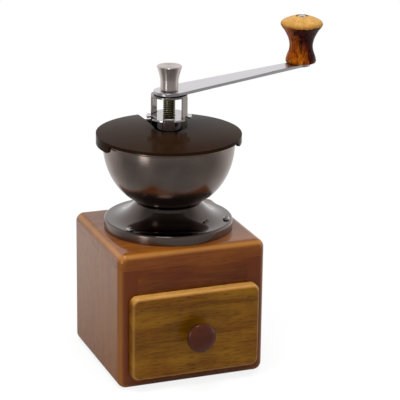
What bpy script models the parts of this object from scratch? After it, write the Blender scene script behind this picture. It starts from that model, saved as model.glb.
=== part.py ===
"""A box coffee mill: wooden box with a drawer, metal hopper, conical burrs and a crank arm.

Metres, +Z up. The origin is the middle of the box's underside, straight below the shaft.
The drawer faces -Y. Every piece is its own object, and each group that moves hangs on an
empty: crank_axis and grip_axis turn about Z, drawer_slide and lid_slide move along a line.
"""

import math

import bmesh
import bpy
import numpy as np
from mathutils import Matrix, Vector

# Fits and cuts shared by the whole mill
joint_gap = 0.0003
running_gap = 0.0001
overrun = 0.002
weld_distance = 0.000001

# Facets round a full turn
large_facets = 40
bore_facets = 40
knob_facets = 24
ring_facets = 60
small_facets = 12
facets_per_flute = 5

# Angles past which an edge between faces shows as an edge
soft_shading_angle = math.radians(35)
crisp_shading_angle = math.radians(20)

# Box
box_width = 0.098
box_depth = 0.094
box_height = 0.090
box_edge_radius = 0.0056
box_edge_segments = 4
top_thickness = 0.010
side_thickness = 0.012
back_thickness = 0.012
rail_thickness = 0.012
rail_height = 0.020
bottom_thickness = 0.010

# Drawer
front_lap_side = 0.0058
front_lap_below = 0.0022
front_lap_above = 0.0032
front_thickness = 0.0067
front_edge_radius = 0.0028
front_edge_segments = 3
front_corner_radius = 0.005
front_corner_segments = 4
drawer_play = 0.0005
drawer_headroom = 0.004
drawer_end_play = 0.001
drawer_wall = 0.005
drawer_floor = 0.003
knob_radius = 0.0096
knob_length = 0.012
knob_neck_radius = 0.0042
knob_foot_radius = 0.0055
knob_neck_low_share = 0.2
knob_neck_high_share = 0.36
knob_screw_radius = 0.0017
knob_screw_head_radius = 0.0032
knob_screw_head_height = 0.0018
knob_screw_bite = 0.0078

# Pedestal
pedestal_radius = 0.0415
rim_height = 0.0061
rim_fillet = 0.0014
flare_rise = 0.0094
flare_power = 2.6
neck_radius = 0.0222
neck_height = 0.0026
waist_depth = 0.0005
neck_wall = 0.0027
sleeve_wall = 0.0022
pedestal_wall = 0.0022
foot_width = 0.007
chute_setback = 0.0035

# Domed screw heads, as shares of the head's radius and height
head_dome_shares = ((1.0, 0.5), (0.72, 0.87))

# Flange screws
flange_screws = 3
flange_screw_inset = 0.0037
flange_screw_radius = 0.0012
flange_screw_head_radius = 0.0021
flange_screw_head_height = 0.0013
flange_screw_bite_share = 0.9
flange_screw_first_angle = math.radians(-30)

# Burrs and what holds them
spigot_length = 0.003
spigot_wall = 0.0015
spider_arms = 3
spider_height = 0.003
spider_arm_width = 0.0035
spider_arm_inset = 0.0003
spider_hub_radius = 0.0072
burr_height = 0.0088
outer_burr_foot_wall = 0.0032
outer_burr_mouth_wall = 0.0059
outer_burr_rows = 6
outer_flutes = 12
outer_flute_depth = 0.0022
grind_gap = 0.0005
inner_burr_drop = 0.0005
inner_burr_height = 0.0080
inner_burr_hub_wall = 0.0045
inner_burr_rows = 8
inner_fine_share = 0.35
inner_flutes = 8
inner_flute_depth = 0.0030
inner_flute_swell_share = 0.7
flute_floor_share = 0.18
flute_ramp_share = 0.75
flute_twist = math.radians(50)
ring_plate = 0.0015
ring_plate_shy = 0.0009
boss_radius = 0.003
boss_offset_share = 0.6
boss_sink = 0.0012
ring_screws = 3
ring_screw_radius = 0.0012
ring_screw_bite = 0.006
ring_screw_head_radius = 0.0025
ring_screw_head_height = 0.0013
ring_screw_first_angle = math.radians(30)

# Bowl
bowl_height = 0.0403
bowl_radius = 0.04235
bowl_fullness = 2.23
bowl_wall = 0.0015
bead_radius = 0.0011
bead_reach = 0.00065

# Bridge across the bowl, and the two bushes
bridge_drop = 0.0011
bridge_thickness = 0.0017
bridge_width = 0.016
bridge_tab = 0.007
bush_wall = 0.0014
bush_flange_width = 0.0025
bush_flange_height = 0.0011
upper_bush_length = 0.0055
lower_bush_tail = 0.0006

# Lid
lid_overhang = 0.0035
lid_thickness = 0.0021
lid_rise = 0.0026
lid_edge_radius = 0.0006
lid_dome_share = 0.95
lid_hollow_share = 0.92
lid_slot_play = 0.00115
lid_tab_wall = 0.0018
lid_tab_drop = 0.0046
lid_tab_inset = 0.0001
lid_tab_forward = math.radians(28)
lid_tab_backward = math.radians(12)
lid_turn = math.radians(-5)

# Shaft
shaft_radius = 0.0039
square_width = 0.0054
top_stud_radius = 0.0026
top_stud_length = 0.0112
foot_stud_radius = 0.0026
foot_stud_spare = 0.0006
washer_radius = 0.007
washer_thickness = 0.0012
hex_width = 0.0095
hex_height = 0.004

# Adjusting nut with its star wheel
hub_radius = 0.00745
star_clearance = 0.0075
star_radius = 0.0144
star_thickness = 0.0012
star_notches = 6
notch_play = 0.0003
notch_floor_play = 0.0006

# Stopper
thread_window = 0.0115
collar_radius = 0.00475
collar_height = 0.0012
plate_radius = 0.0116
plate_thickness = 0.0012
leg_width = 0.0063
leg_thickness = 0.001
leg_inner_radius = 0.0109
leg_bend_radius = 0.0018
leg_floor_clearance = 0.0015
stopper_turn = math.radians(-72.8)

# Crank arm, its fixing knob and the grip
crank_turn = math.radians(20.8)
arm_reach = 0.1168
arm_thickness = 0.0021
arm_root_radius = 0.0099
arm_neck_width = 0.0108
arm_end_radius = 0.0066
stem_radius = 0.00555
stem_height = 0.0062
fixing_knob_radius = 0.00785
fixing_knob_height = 0.0156
fixing_knob_edge = 0.0004
fixing_knob_flare_power = 1.35
grip_height = 0.0316
grip_radius = 0.0143
grip_recess_radius = 0.0042
grip_recess_depth = 0.0016
axle_radius = 0.002
axle_rivet_radius = 0.0034
axle_rivet_height = 0.0006
axle_head_radius = 0.0028
axle_head_height = 0.0019

# Grip outline from its foot to its crown, as shares of grip_height and grip_radius
grip_outline_shares = (
    (0.0, 0.700),
    (0.045, 0.722),
    (0.19, 0.635),
    (0.345, 0.552),
    (0.52, 0.620),
    (0.70, 0.825),
    (0.825, 1.0),
    (0.90, 0.890),
    (0.975, 0.52),
)
grip_curve_steps = 2

# Drawer knob outline from its foot to its crown, as shares of knob_length and knob_radius
knob_head_shares = (
    (0.45, 0.80),
    (0.52, 0.95),
    (0.62, 1.0),
    (0.74, 0.95),
    (0.88, 0.72),
    (0.97, 0.38),
)

# Places that follow from the sizes above
half_width = box_width / 2
half_depth = box_depth / 2
bay_half = half_width - side_thickness
seam_height = box_height - top_thickness
bay_top = seam_height - rail_height
back_face = half_depth - back_thickness

pedestal_base = box_height + joint_gap
rim_top = pedestal_base + rim_height
flare_radius = pedestal_radius - rim_fillet
flare_top = rim_top + flare_rise
neck_top = flare_top + neck_height
sleeve_bore = neck_radius - neck_wall
sleeve_radius = sleeve_bore + sleeve_wall
hollow_radius = pedestal_radius - foot_width
chute_radius = hollow_radius - chute_setback
flange_screw_circle = pedestal_radius - flange_screw_inset
boss_circle = sleeve_radius + boss_radius * boss_offset_share

bowl_seat = neck_top + joint_gap
spigot_radius = sleeve_bore - joint_gap
spigot_bore = spigot_radius - spigot_wall
spigot_foot = bowl_seat - spigot_length
spider_top = spigot_foot - joint_gap
spider_foot = spider_top - spider_height
outer_burr_top = spider_foot - joint_gap
outer_burr_foot = outer_burr_top - burr_height
outer_mouth_radius = spigot_radius - outer_burr_mouth_wall
outer_foot_radius = spigot_radius - outer_burr_foot_wall
ring_top = outer_burr_foot - joint_gap
ring_foot = ring_top - ring_plate
inner_burr_foot = outer_burr_foot - inner_burr_drop
inner_burr_top = inner_burr_foot + inner_burr_height

bead_height = bowl_seat + bowl_height
bead_circle = bowl_radius - bead_radius + bead_reach
bead_outer = bead_circle + bead_radius
rim_height_of_bowl = bead_height + bead_radius

bush_bore = shaft_radius + running_gap
bush_radius = bush_bore + bush_wall
bush_flange_radius = bush_radius + bush_flange_width
bridge_top = bead_height - bridge_drop
upper_bush_seat = bridge_top + joint_gap
upper_bush_top = upper_bush_seat + bush_flange_height

lid_under = rim_height_of_bowl + joint_gap
lid_rim_top = lid_under + lid_thickness
lid_crown = lid_rim_top + lid_rise
lid_radius = bead_outer + lid_overhang
slot_half = hub_radius + lid_slot_play

hub_foot = upper_bush_top + joint_gap
star_foot = lid_crown + star_clearance
star_top = star_foot + star_thickness
collar_foot = star_top + thread_window
plate_foot = collar_foot + collar_height
plate_top = plate_foot + plate_thickness
leg_foot = lid_crown + leg_floor_clearance

arm_foot = plate_top + joint_gap
arm_top = arm_foot + arm_thickness
knob_seat = arm_top + joint_gap
axle_bore = axle_radius + running_gap
recess_floor = knob_seat + grip_height - grip_recess_depth
square_foot = inner_burr_foot + joint_gap
washer_top = inner_burr_foot - joint_gap
washer_foot = washer_top - washer_thickness
hex_top = washer_foot - joint_gap
hex_foot = hex_top - hex_height
shaft_foot = hex_foot - foot_stud_spare
square_hole_half = square_width / 2 + joint_gap


def clear_scene():
    for item in list(bpy.data.objects):
        bpy.data.objects.remove(item, do_unlink=True)


def finish(name, colour, roughness, metallic=0.0):
    """A Principled material. The colour is given as it looks on a screen, from 0 to 1."""
    material = bpy.data.materials.new(name)
    material.use_nodes = True
    shader = material.node_tree.nodes["Principled BSDF"]
    linear = [channel ** 2.2 for channel in colour]
    shader.inputs["Base Color"].default_value = (*linear, 1.0)
    shader.inputs["Roughness"].default_value = roughness
    shader.inputs["Metallic"].default_value = metallic
    return material


def place(name, shape, material=None, parent=None, smooth_angle=soft_shading_angle):
    """Turn a bmesh into a named object, shaded smooth where its faces meet gently."""
    bmesh.ops.recalc_face_normals(shape, faces=shape.faces)
    mesh = bpy.data.meshes.new(name)
    shape.to_mesh(mesh)
    shape.free()
    mesh.shade_smooth()
    mesh.set_sharp_from_angle(angle=smooth_angle)
    item = bpy.data.objects.new(name, mesh)
    if material:
        mesh.materials.append(material)
    bpy.context.scene.collection.objects.link(item)
    item.parent = parent
    return item


def carve(piece, label, shape, operation="DIFFERENCE"):
    """Cut a shape from a piece, join it, or keep what both share. The tool follows its piece."""
    tool = place(piece.name + "_" + label, shape, parent=piece)
    tool.display_type = "WIRE"
    tool.hide_render = True
    change = piece.modifiers.new(label, "BOOLEAN")
    change.operation = operation
    change.solver = "EXACT"
    change.object = tool


def axis_empty(name, parent=None, location=(0.0, 0.0, 0.0), turn=0.0):
    empty = bpy.data.objects.new(name, None)
    bpy.context.scene.collection.objects.link(empty)
    empty.parent = parent
    empty.location = location
    empty.rotation_euler = (0.0, 0.0, turn)
    return empty


def arc(centre, radius, start, end, steps):
    """Points along a circular arc in the plane of an outline, both ends included."""
    angles = np.linspace(start, end, steps + 1)
    return [(centre[0] + radius * math.cos(a), centre[1] + radius * math.sin(a)) for a in angles]


def smooth_through(points, steps):
    """A Catmull-Rom curve through the points, with so many steps between two of them."""
    knots = np.array(points)
    ends = np.vstack([knots[0] * 2 - knots[1], knots, knots[-1] * 2 - knots[-2]])
    curve = []
    for a, b, c, d in zip(ends, ends[1:], ends[2:], ends[3:]):
        for t in np.arange(steps) / steps:
            bend = (a * 2 - b * 5 + c * 4 - d) * t * t + (b * 3 - a - c * 3 + d) * t ** 3
            curve.append((b * 2 + (c - a) * t + bend) / 2)
    curve.append(knots[-1])
    return [tuple(point) for point in curve]


def turned(outline, facets=bore_facets):
    """Spin an outline of (radius, height) points about Z. One that ends on the axis is a solid,
    and any other is closed into a ring."""
    shape = bmesh.new()
    corners = [shape.verts.new((radius, 0.0, height)) for radius, height in outline]
    on_axis = outline[0][0] == 0.0
    follows = corners[1:] if on_axis else corners[1:] + corners[:1]
    edges = [shape.edges.new(pair) for pair in zip(corners, follows)]
    bmesh.ops.spin(shape, geom=corners + edges, cent=(0.0, 0.0, 0.0), axis=(0.0, 0.0, 1.0),
                   angle=math.tau, steps=facets, use_merge=True)
    bmesh.ops.remove_doubles(shape, verts=shape.verts, dist=weld_distance)
    return shape


def cylinder(radius, foot, top, facets=bore_facets):
    return turned([(0.0, foot), (radius, foot), (radius, top), (0.0, top)], facets)


def tube(outer, inner, foot, top, facets=bore_facets):
    return turned([(outer, foot), (outer, top), (inner, top), (inner, foot)], facets)


def block(low, high):
    """A box between two corners."""
    shape = bmesh.new()
    size = Vector(high) - Vector(low)
    middle = (Vector(high) + Vector(low)) / 2
    bmesh.ops.create_cube(shape, size=1.0, matrix=Matrix.Translation(middle) @ Matrix.Diagonal((*size, 1.0)))
    return shape


def slab(outline, foot, top):
    """Extrude a flat outline of (x, y) points from one height to another."""
    shape = bmesh.new()
    face = shape.faces.new([shape.verts.new((x, y, foot)) for x, y in outline])
    lifted = bmesh.ops.extrude_face_region(shape, geom=[face])["geom"]
    corners = [item for item in lifted if isinstance(item, bmesh.types.BMVert)]
    bmesh.ops.translate(shape, verts=corners, vec=(0.0, 0.0, top - foot))
    return shape


def lofted(loops, ring=False):
    """A solid through loops of points, one face wide between neighbours. Its two ends are
    capped, or joined to each other when it is a ring."""
    shape = bmesh.new()
    rows = [[shape.verts.new(point) for point in loop] for loop in loops]
    pairs = list(zip(rows, rows[1:] + rows[:1])) if ring else list(zip(rows, rows[1:]))
    for low, high in pairs:
        for first, second in zip(range(-1, len(low) - 1), range(len(low))):
            shape.faces.new((low[first], low[second], high[second], high[first]))
    if not ring:
        shape.faces.new(rows[0])
        shape.faces.new(rows[-1])
    return shape


def polar_loop(radii, height, angles):
    """A level loop whose radius is one number or changes with the angle."""
    radii = np.broadcast_to(radii, angles.shape)
    return np.column_stack([radii * np.cos(angles), radii * np.sin(angles), np.full(angles.shape, height)])


def turn_angles(facets):
    return np.arange(facets) * math.tau / facets


def square_radii(half, angles):
    """Distance from the middle of a square to its edge. Its corners lie on the diagonals."""
    return half / np.maximum(np.abs(np.cos(angles)), np.abs(np.sin(angles)))


def hexagon_radii(half, angles):
    """The same for a hexagon with a flat towards +X."""
    sixth = math.tau / 6
    return half / np.cos((angles + sixth / 2) % sixth - sixth / 2)


def around(shape, count, first_angle=0.0):
    """Turn a shape to a first angle about Z and repeat it evenly round the turn."""
    bmesh.ops.rotate(shape, verts=shape.verts, matrix=Matrix.Rotation(first_angle, 3, "Z"))
    step = Matrix.Rotation(math.tau / count, 3, "Z")
    last = list(shape.verts) + list(shape.edges) + list(shape.faces)
    for _ in range(count - 1):
        last = bmesh.ops.duplicate(shape, geom=last)["geom"]
        corners = [item for item in last if isinstance(item, bmesh.types.BMVert)]
        bmesh.ops.rotate(shape, verts=corners, matrix=step)
    return shape


def moved(shape, vector):
    bmesh.ops.translate(shape, verts=shape.verts, vec=vector)
    return shape


def together(first, second):
    """Two shapes that stay apart, in one mesh, so that they cut at once."""
    carrier = bpy.data.meshes.new("carrier")
    second.to_mesh(carrier)
    second.free()
    first.from_mesh(carrier)
    bpy.data.meshes.remove(carrier)
    return first


def box_board(name, material, planes):
    """Saw a board out of the rounded box. Each plane is (axis, place, side), and the board keeps
    what lies below its place (side -1) or above it (side 1)."""
    shape = block((-half_width, -half_depth, 0.0), (half_width, half_depth, box_height))
    bmesh.ops.bevel(shape, geom=shape.edges, offset=box_edge_radius, segments=box_edge_segments,
                    profile=0.5, affect="EDGES")
    for axis, position, side in planes:
        point = Vector()
        point[axis] = position
        normal = Vector()
        normal[axis] = -side
        every = list(shape.verts) + list(shape.edges) + list(shape.faces)
        cut = bmesh.ops.bisect_plane(shape, geom=every, plane_co=point, plane_no=normal, clear_outer=True)
        rim = [item for item in cut["geom_cut"] if isinstance(item, bmesh.types.BMEdge)]
        bmesh.ops.holes_fill(shape, edges=rim)
    return place(name, shape, material)


def make_box(wood):
    """Six boards rounded over together, with the grounds' hole in the top one."""
    below_top = (2, seam_height - joint_gap, -1)
    between_sides = [(0, bay_half - joint_gap, -1), (0, joint_gap - bay_half, 1)]
    top = box_board("top_board", wood, [(2, seam_height, 1)])
    box_board("left_side_board", wood, [below_top, (0, -bay_half, -1)])
    box_board("right_side_board", wood, [below_top, (0, bay_half, 1)])
    box_board("back_panel", wood, [below_top, *between_sides, (1, back_face, 1)])
    box_board("bottom_board", wood,
              [(2, bottom_thickness, -1), *between_sides, (1, back_face - joint_gap, -1)])
    box_board("front_rail", wood,
              [below_top, *between_sides, (2, bay_top, 1), (1, rail_thickness - half_depth, -1)])
    carve(top, "chute", cylinder(chute_radius, seam_height - overrun, box_height + overrun, large_facets))
    pilot = cylinder(flange_screw_radius + joint_gap, flange_screw_tip() - joint_gap,
                     box_height + overrun, small_facets)
    pilots = around(moved(pilot, (flange_screw_circle, 0.0, 0.0)), flange_screws, flange_screw_first_angle)
    carve(top, "pilots", pilots)


def flange_screw_tip():
    return box_height - top_thickness * flange_screw_bite_share


def flare_height(radius):
    """The pedestal's upper face: level at the rim, then ever steeper up to the neck."""
    share = max((flare_radius - radius) / (flare_radius - neck_radius), 0.0)
    return rim_top + flare_rise * share ** flare_power


def make_pedestal(metal):
    fillet_middle = (pedestal_radius - rim_fillet, rim_top - rim_fillet)
    rim = arc(fillet_middle, rim_fillet, 0.0, math.pi / 2, 2)
    flare = [(r, flare_height(r)) for r in np.linspace(flare_radius, neck_radius, 8)[1:]]
    neck = [(neck_radius - waist_depth, flare_top + neck_height / 2), (neck_radius, neck_top)]
    under = [(r, flare_height(r) - pedestal_wall) for r in np.linspace(neck_radius, hollow_radius, 4)]
    sleeve = [(sleeve_bore, neck_top), (sleeve_bore, outer_burr_foot), (sleeve_radius, outer_burr_foot),
              (sleeve_radius, flare_top - pedestal_wall)]
    outline = [(pedestal_radius, pedestal_base), *rim, *flare, *neck, *sleeve, *under[1:],
               (hollow_radius, pedestal_base)]
    piece = place("pedestal", turned(outline, large_facets), metal)
    boss_top = flare_height(boss_circle + boss_radius) - boss_sink
    boss = cylinder(boss_radius, outer_burr_foot + joint_gap, boss_top, small_facets)
    bosses = around(moved(boss, (boss_circle, 0.0, 0.0)), ring_screws, ring_screw_first_angle)
    carve(piece, "bosses", bosses, "UNION")
    hole_top = ring_foot + ring_plate + ring_screw_bite + joint_gap
    hole = cylinder(ring_screw_radius + joint_gap, outer_burr_foot - overrun, hole_top, small_facets)
    holes = around(moved(hole, (boss_circle, 0.0, 0.0)), ring_screws, ring_screw_first_angle)
    bore = cylinder(flange_screw_radius + joint_gap, pedestal_base - overrun, rim_top + overrun, small_facets)
    bores = around(moved(bore, (flange_screw_circle, 0.0, 0.0)), flange_screws, flange_screw_first_angle)
    carve(piece, "screw_holes", together(holes, bores))


def head_outline(radius, height, seat):
    """A domed screw head's outline, from the edge of its seat to its middle."""
    dome = [(radius * out, seat + height * up) for out, up in head_dome_shares]
    return [(radius, seat), *dome, (0.0, seat + height)]


def screw_shape(shank_radius, length, head_radius, head_height):
    """A domed screw with its head's seat at height zero and its shank below."""
    head = head_outline(head_radius, head_height, 0.0)
    return turned([(0.0, -length), (shank_radius, -length), (shank_radius, 0.0), *head], small_facets)


def make_flange_screws(steel):
    seat = flare_height(flange_screw_circle - flange_screw_head_radius) + joint_gap
    length = seat - flange_screw_tip()
    for number in range(flange_screws):
        angle = flange_screw_first_angle + number * math.tau / flange_screws
        shape = screw_shape(flange_screw_radius, length, flange_screw_head_radius, flange_screw_head_height)
        item = place(f"flange_screw_{number + 1}", shape, steel)
        item.location = (flange_screw_circle * math.cos(angle), flange_screw_circle * math.sin(angle), seat)


def bowl_curve(inset, low, steps):
    """The bowl's side from a height up to the bead: a superellipse, moved in by a wall."""
    reach = (1 - (neck_radius / bowl_radius) ** bowl_fullness) ** (1 / bowl_fullness)
    wide = bowl_radius - inset
    tall = bowl_height / reach - inset
    points = []
    for angle in np.linspace(0.0, 1.0, steps + 1):
        height = low + (bead_height - low) * math.sin(angle * math.pi / 2)
        share = (bead_height - height) / tall
        points.append((wide * (1 - share ** bowl_fullness) ** (1 / bowl_fullness), height))
    return points


def make_bowl(metal):
    outside = bowl_curve(0.0, bowl_seat, 8)[:-1]
    inside = bowl_curve(bowl_wall, bowl_seat + bowl_wall, 5)[:-1]
    bead = arc((bead_circle, bead_height), bead_radius, math.radians(-50), math.radians(190), 5)
    outline = [(spigot_radius, spigot_foot), (spigot_radius, bowl_seat), *outside, *bead,
               *reversed(inside), (spigot_bore, bowl_seat + bowl_wall), (spigot_bore, spigot_foot)]
    place("hopper_bowl", turned(outline, large_facets), metal)


def make_bridge(steel, bronze):
    """A strap with turned-down ends that lie against the bowl, and the bush in its middle."""
    tab_foot = bridge_top - bridge_tab
    cavity = bowl_curve(bowl_wall + joint_gap, tab_foot - overrun, 8)
    narrowest = bowl_curve(bowl_wall + joint_gap, tab_foot, 1)[0][0]
    strap_foot = bridge_top - bridge_thickness
    across = narrowest - bridge_thickness
    outline = [(-bowl_radius, bridge_top), (bowl_radius, bridge_top), (bowl_radius, tab_foot),
               (across, tab_foot), (across, strap_foot), (-across, strap_foot), (-across, tab_foot),
               (-bowl_radius, tab_foot)]
    shape = slab(outline, -bridge_width / 2, bridge_width / 2)
    bmesh.ops.rotate(shape, verts=shape.verts, matrix=Matrix.Rotation(math.pi / 2, 3, "X"))
    strap = place("hopper_bridge", shape, steel)
    room = [(0.0, tab_foot - overrun), *cavity, (0.0, bead_height)]
    carve(strap, "bowl_room", turned(room, large_facets), "INTERSECT")
    carve(strap, "bush_hole", cylinder(bush_radius + joint_gap, strap_foot - overrun, bridge_top + overrun))
    bush = [(bush_radius, upper_bush_seat - upper_bush_length), (bush_radius, upper_bush_seat),
            (bush_flange_radius, upper_bush_seat), (bush_flange_radius, upper_bush_top),
            (bush_bore, upper_bush_top), (bush_bore, upper_bush_seat - upper_bush_length)]
    place("upper_bush", turned(bush), bronze)


def make_spider(steel, bronze):
    """Ring, three arms and hub in the throat. Beans fall between the arms."""
    ring = tube(spigot_radius, spigot_bore, spider_foot, spider_top, large_facets)
    piece = place("burr_spider", ring, steel)
    arm_low = spider_foot + spider_arm_inset
    arm_high = spider_top - spider_arm_inset
    inner_end = (bush_radius + spider_hub_radius) / 2
    outer_end = (spigot_bore + spigot_radius) / 2
    arm = block((inner_end, -spider_arm_width / 2, arm_low), (outer_end, spider_arm_width / 2, arm_high))
    carve(piece, "arms", around(arm, spider_arms, ring_screw_first_angle), "UNION")
    hub = tube(spider_hub_radius, bush_radius + joint_gap, spider_foot, spider_top)
    carve(piece, "hub", hub, "UNION")
    seat = spider_top + joint_gap
    foot = spider_foot - lower_bush_tail
    bush = [(bush_radius, foot), (bush_radius, seat), (spider_hub_radius, seat),
            (spider_hub_radius, seat + bush_flange_height), (bush_bore, seat + bush_flange_height),
            (bush_bore, foot)]
    place("lower_bush", turned(bush), bronze)


def flute_wave(flutes, angles, twist):
    """Saw-tooth flutes round the turn: 0 on a tooth's edge, growing to 1 in its valley."""
    phase = (angles * flutes / math.tau + twist * flutes / math.tau) % 1.0
    fall = (1.0 - phase) / (1.0 - flute_ramp_share)
    return np.where(phase < flute_ramp_share, phase / flute_ramp_share, fall)


def make_outer_burr(ceramic):
    """A ring whose bore narrows upwards. Its flutes wind round it and fade towards the foot."""
    angles = turn_angles(outer_flutes * facets_per_flute)
    loops = [polar_loop(spigot_radius, outer_burr_foot, angles),
             polar_loop(spigot_radius, outer_burr_top, angles)]
    for share in np.linspace(1.0, 0.0, outer_burr_rows):
        edge = outer_foot_radius + (outer_mouth_radius - outer_foot_radius) * share
        depth = outer_flute_depth * (flute_floor_share + (1 - flute_floor_share) * share)
        valleys = flute_wave(outer_flutes, angles, -flute_twist * share)
        loops.append(polar_loop(edge + depth * valleys, outer_burr_foot + burr_height * share, angles))
    place("outer_burr", lofted(loops, ring=True), ceramic, smooth_angle=crisp_shading_angle)


def inner_edge_radius(height):
    """The cone's tooth edges: close to the outer burr in the fine zone, then falling to the hub."""
    rise = (height - outer_burr_foot) / burr_height
    fine = outer_foot_radius + (outer_mouth_radius - outer_foot_radius) * rise - grind_gap
    turn_height = inner_burr_foot + inner_burr_height * inner_fine_share
    if height <= turn_height:
        return fine
    hub = square_width / 2 * math.sqrt(2) + inner_burr_hub_wall
    share = (height - turn_height) / (inner_burr_top - turn_height)
    return inner_edge_radius(turn_height) * (1 - share) + hub * share


def make_inner_burr(ceramic, parent):
    angles = turn_angles(inner_flutes * facets_per_flute)
    loops = [polar_loop(square_radii(square_hole_half, angles), inner_burr_foot, angles)]
    for share in np.linspace(0.0, 1.0, inner_burr_rows):
        height = inner_burr_foot + inner_burr_height * share
        swell = math.sin(share * math.pi * inner_flute_swell_share)
        depth = inner_flute_depth * (flute_floor_share + (1 - flute_floor_share) * swell)
        valleys = flute_wave(inner_flutes, angles, flute_twist * share)
        loops.append(polar_loop(inner_edge_radius(height) - depth * valleys, height, angles))
    loops.append(polar_loop(square_radii(square_hole_half, angles), inner_burr_top, angles))
    place("inner_burr", lofted(loops, ring=True), ceramic, parent, smooth_angle=crisp_shading_angle)


def make_ring_plate(steel, screw_steel):
    """A plate under the outer burr. Its three ears are screwed to the pedestal's bosses."""
    angles = turn_angles(ring_facets)
    share = math.tau / ring_screws
    nearest = (angles - ring_screw_first_angle + share / 2) % share - share / 2
    square = boss_radius ** 2 - (boss_circle * np.sin(nearest)) ** 2
    ear = np.where(square > 0, boss_circle * np.cos(nearest) + np.sqrt(np.maximum(square, 0.0)), 0.0)
    outer = np.maximum(ear, sleeve_radius)
    inner = outer_foot_radius + ring_plate_shy
    loops = [polar_loop(outer, ring_foot, angles), polar_loop(outer, ring_top, angles),
             polar_loop(inner, ring_top, angles), polar_loop(inner, ring_foot, angles)]
    plate = place("burr_ring", lofted(loops, ring=True), steel)
    hole = cylinder(ring_screw_radius + joint_gap, ring_foot - overrun, ring_top + overrun, small_facets)
    holes = around(moved(hole, (boss_circle, 0.0, 0.0)), ring_screws, ring_screw_first_angle)
    carve(plate, "ear_holes", holes)
    for number in range(ring_screws):
        angle = ring_screw_first_angle + number * share
        shape = screw_shape(ring_screw_radius, ring_plate + ring_screw_bite, ring_screw_head_radius,
                            ring_screw_head_height)
        item = place(f"burr_ring_screw_{number + 1}", shape, screw_steel)
        item.rotation_euler = (math.pi, 0.0, 0.0)
        seat = ring_foot - joint_gap
        item.location = (boss_circle * math.cos(angle), boss_circle * math.sin(angle), seat)


def make_shaft(steel, parent):
    """Round where it runs in the bushes, square where it drives, with a stud at each end."""
    angles = turn_angles(bore_facets)
    square = square_radii(square_width / 2, angles)
    sections = [
        (foot_stud_radius, shaft_foot, square_foot),
        (square, square_foot, inner_burr_top + joint_gap),
        (shaft_radius, inner_burr_top + joint_gap, collar_foot - joint_gap),
        (square, collar_foot - joint_gap, arm_top - joint_gap),
        (top_stud_radius, arm_top - joint_gap, knob_seat + top_stud_length),
    ]
    loops = []
    for radii, foot, top in sections:
        loops += [polar_loop(radii, foot, angles), polar_loop(radii, top, angles)]
    place("crank_shaft", lofted(loops), steel, parent)


def make_burr_fasteners(steel, parent):
    hole = foot_stud_radius + joint_gap
    place("burr_washer", tube(washer_radius, hole, washer_foot, washer_top, knob_facets), steel, parent)
    angles = turn_angles(knob_facets)
    flats = hexagon_radii(hex_width / 2, angles)
    loops = [polar_loop(flats, hex_foot, angles), polar_loop(flats, hex_top, angles),
             polar_loop(hole, hex_top, angles), polar_loop(hole, hex_foot, angles)]
    place("burr_nut", lofted(loops, ring=True), steel, parent)


def star_outline():
    """A disc with square notches for the stopper's legs, listed anticlockwise."""
    half = leg_width / 2 + notch_play
    floor = leg_inner_radius - notch_floor_play
    mouth = math.sqrt(star_radius ** 2 - half ** 2)
    mouth_angle = math.asin(half / star_radius)
    points = []
    for number in range(star_notches):
        middle = stopper_turn + number * math.tau / star_notches
        spin = Matrix.Rotation(middle, 2)
        for corner in ((mouth, -half), (floor, -half), (floor, half), (mouth, half)):
            points.append(tuple(spin @ Vector(corner)))
        following = middle + math.tau / star_notches
        points += arc((0.0, 0.0), star_radius, middle + mouth_angle, following - mouth_angle, 5)[1:-1]
    return points


def make_adjusting_nut(steel, parent):
    nut = place("adjusting_nut", cylinder(hub_radius, hub_foot, (star_foot + star_top) / 2), steel, parent)
    carve(nut, "star", slab(star_outline(), star_foot, star_top), "UNION")
    carve(nut, "bore", cylinder(bush_bore, hub_foot - overrun, star_top + overrun))


def leg_shape():
    """One leg as bent sheet: from under the plate, round the bend and down to its foot."""
    outer = leg_inner_radius + leg_thickness
    middle = (outer - leg_bend_radius, plate_top - leg_bend_radius)
    inner_bend = leg_bend_radius - leg_thickness
    root = plate_radius / 2
    outline = [(root, plate_top), *arc(middle, leg_bend_radius, math.pi / 2, 0.0, 4), (outer, leg_foot),
               (leg_inner_radius, leg_foot), *arc(middle, inner_bend, 0.0, math.pi / 2, 2),
               (root, plate_top - leg_thickness)]
    shape = slab(outline, -leg_width / 2, leg_width / 2)
    bmesh.ops.rotate(shape, verts=shape.verts, matrix=Matrix.Rotation(math.pi / 2, 3, "X"))
    return shape


def make_stopper(steel, parent):
    """A plate clamped under the arm. Its legs stand in two notches and lock the grind setting."""
    outline = [(0.0, collar_foot), (collar_radius, collar_foot), (collar_radius, plate_foot),
               (plate_radius, plate_foot), (plate_radius, plate_top), (0.0, plate_top)]
    piece = place("stopper", turned(outline), steel, parent)
    carve(piece, "legs", around(leg_shape(), 2, stopper_turn), "UNION")
    hole = block((-square_hole_half, -square_hole_half, collar_foot - overrun),
                 (square_hole_half, square_hole_half, plate_top + overrun))
    carve(piece, "square_hole", hole)


def arm_outline():
    """Round root, straight tapered sides and a small disc at the grip's end."""
    half = arm_neck_width / 2
    neck_angle = math.asin(half / arm_end_radius)
    neck_reach = arm_reach - arm_end_radius * math.cos(neck_angle)
    lean = math.asin((arm_root_radius - half) / neck_reach)
    root = arc((0.0, 0.0), arm_root_radius, math.pi / 2 - lean, math.pi * 1.5 + lean, 16)
    end = arc((arm_reach, 0.0), arm_end_radius, neck_angle - math.pi, math.pi - neck_angle, 14)
    return root + end


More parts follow.
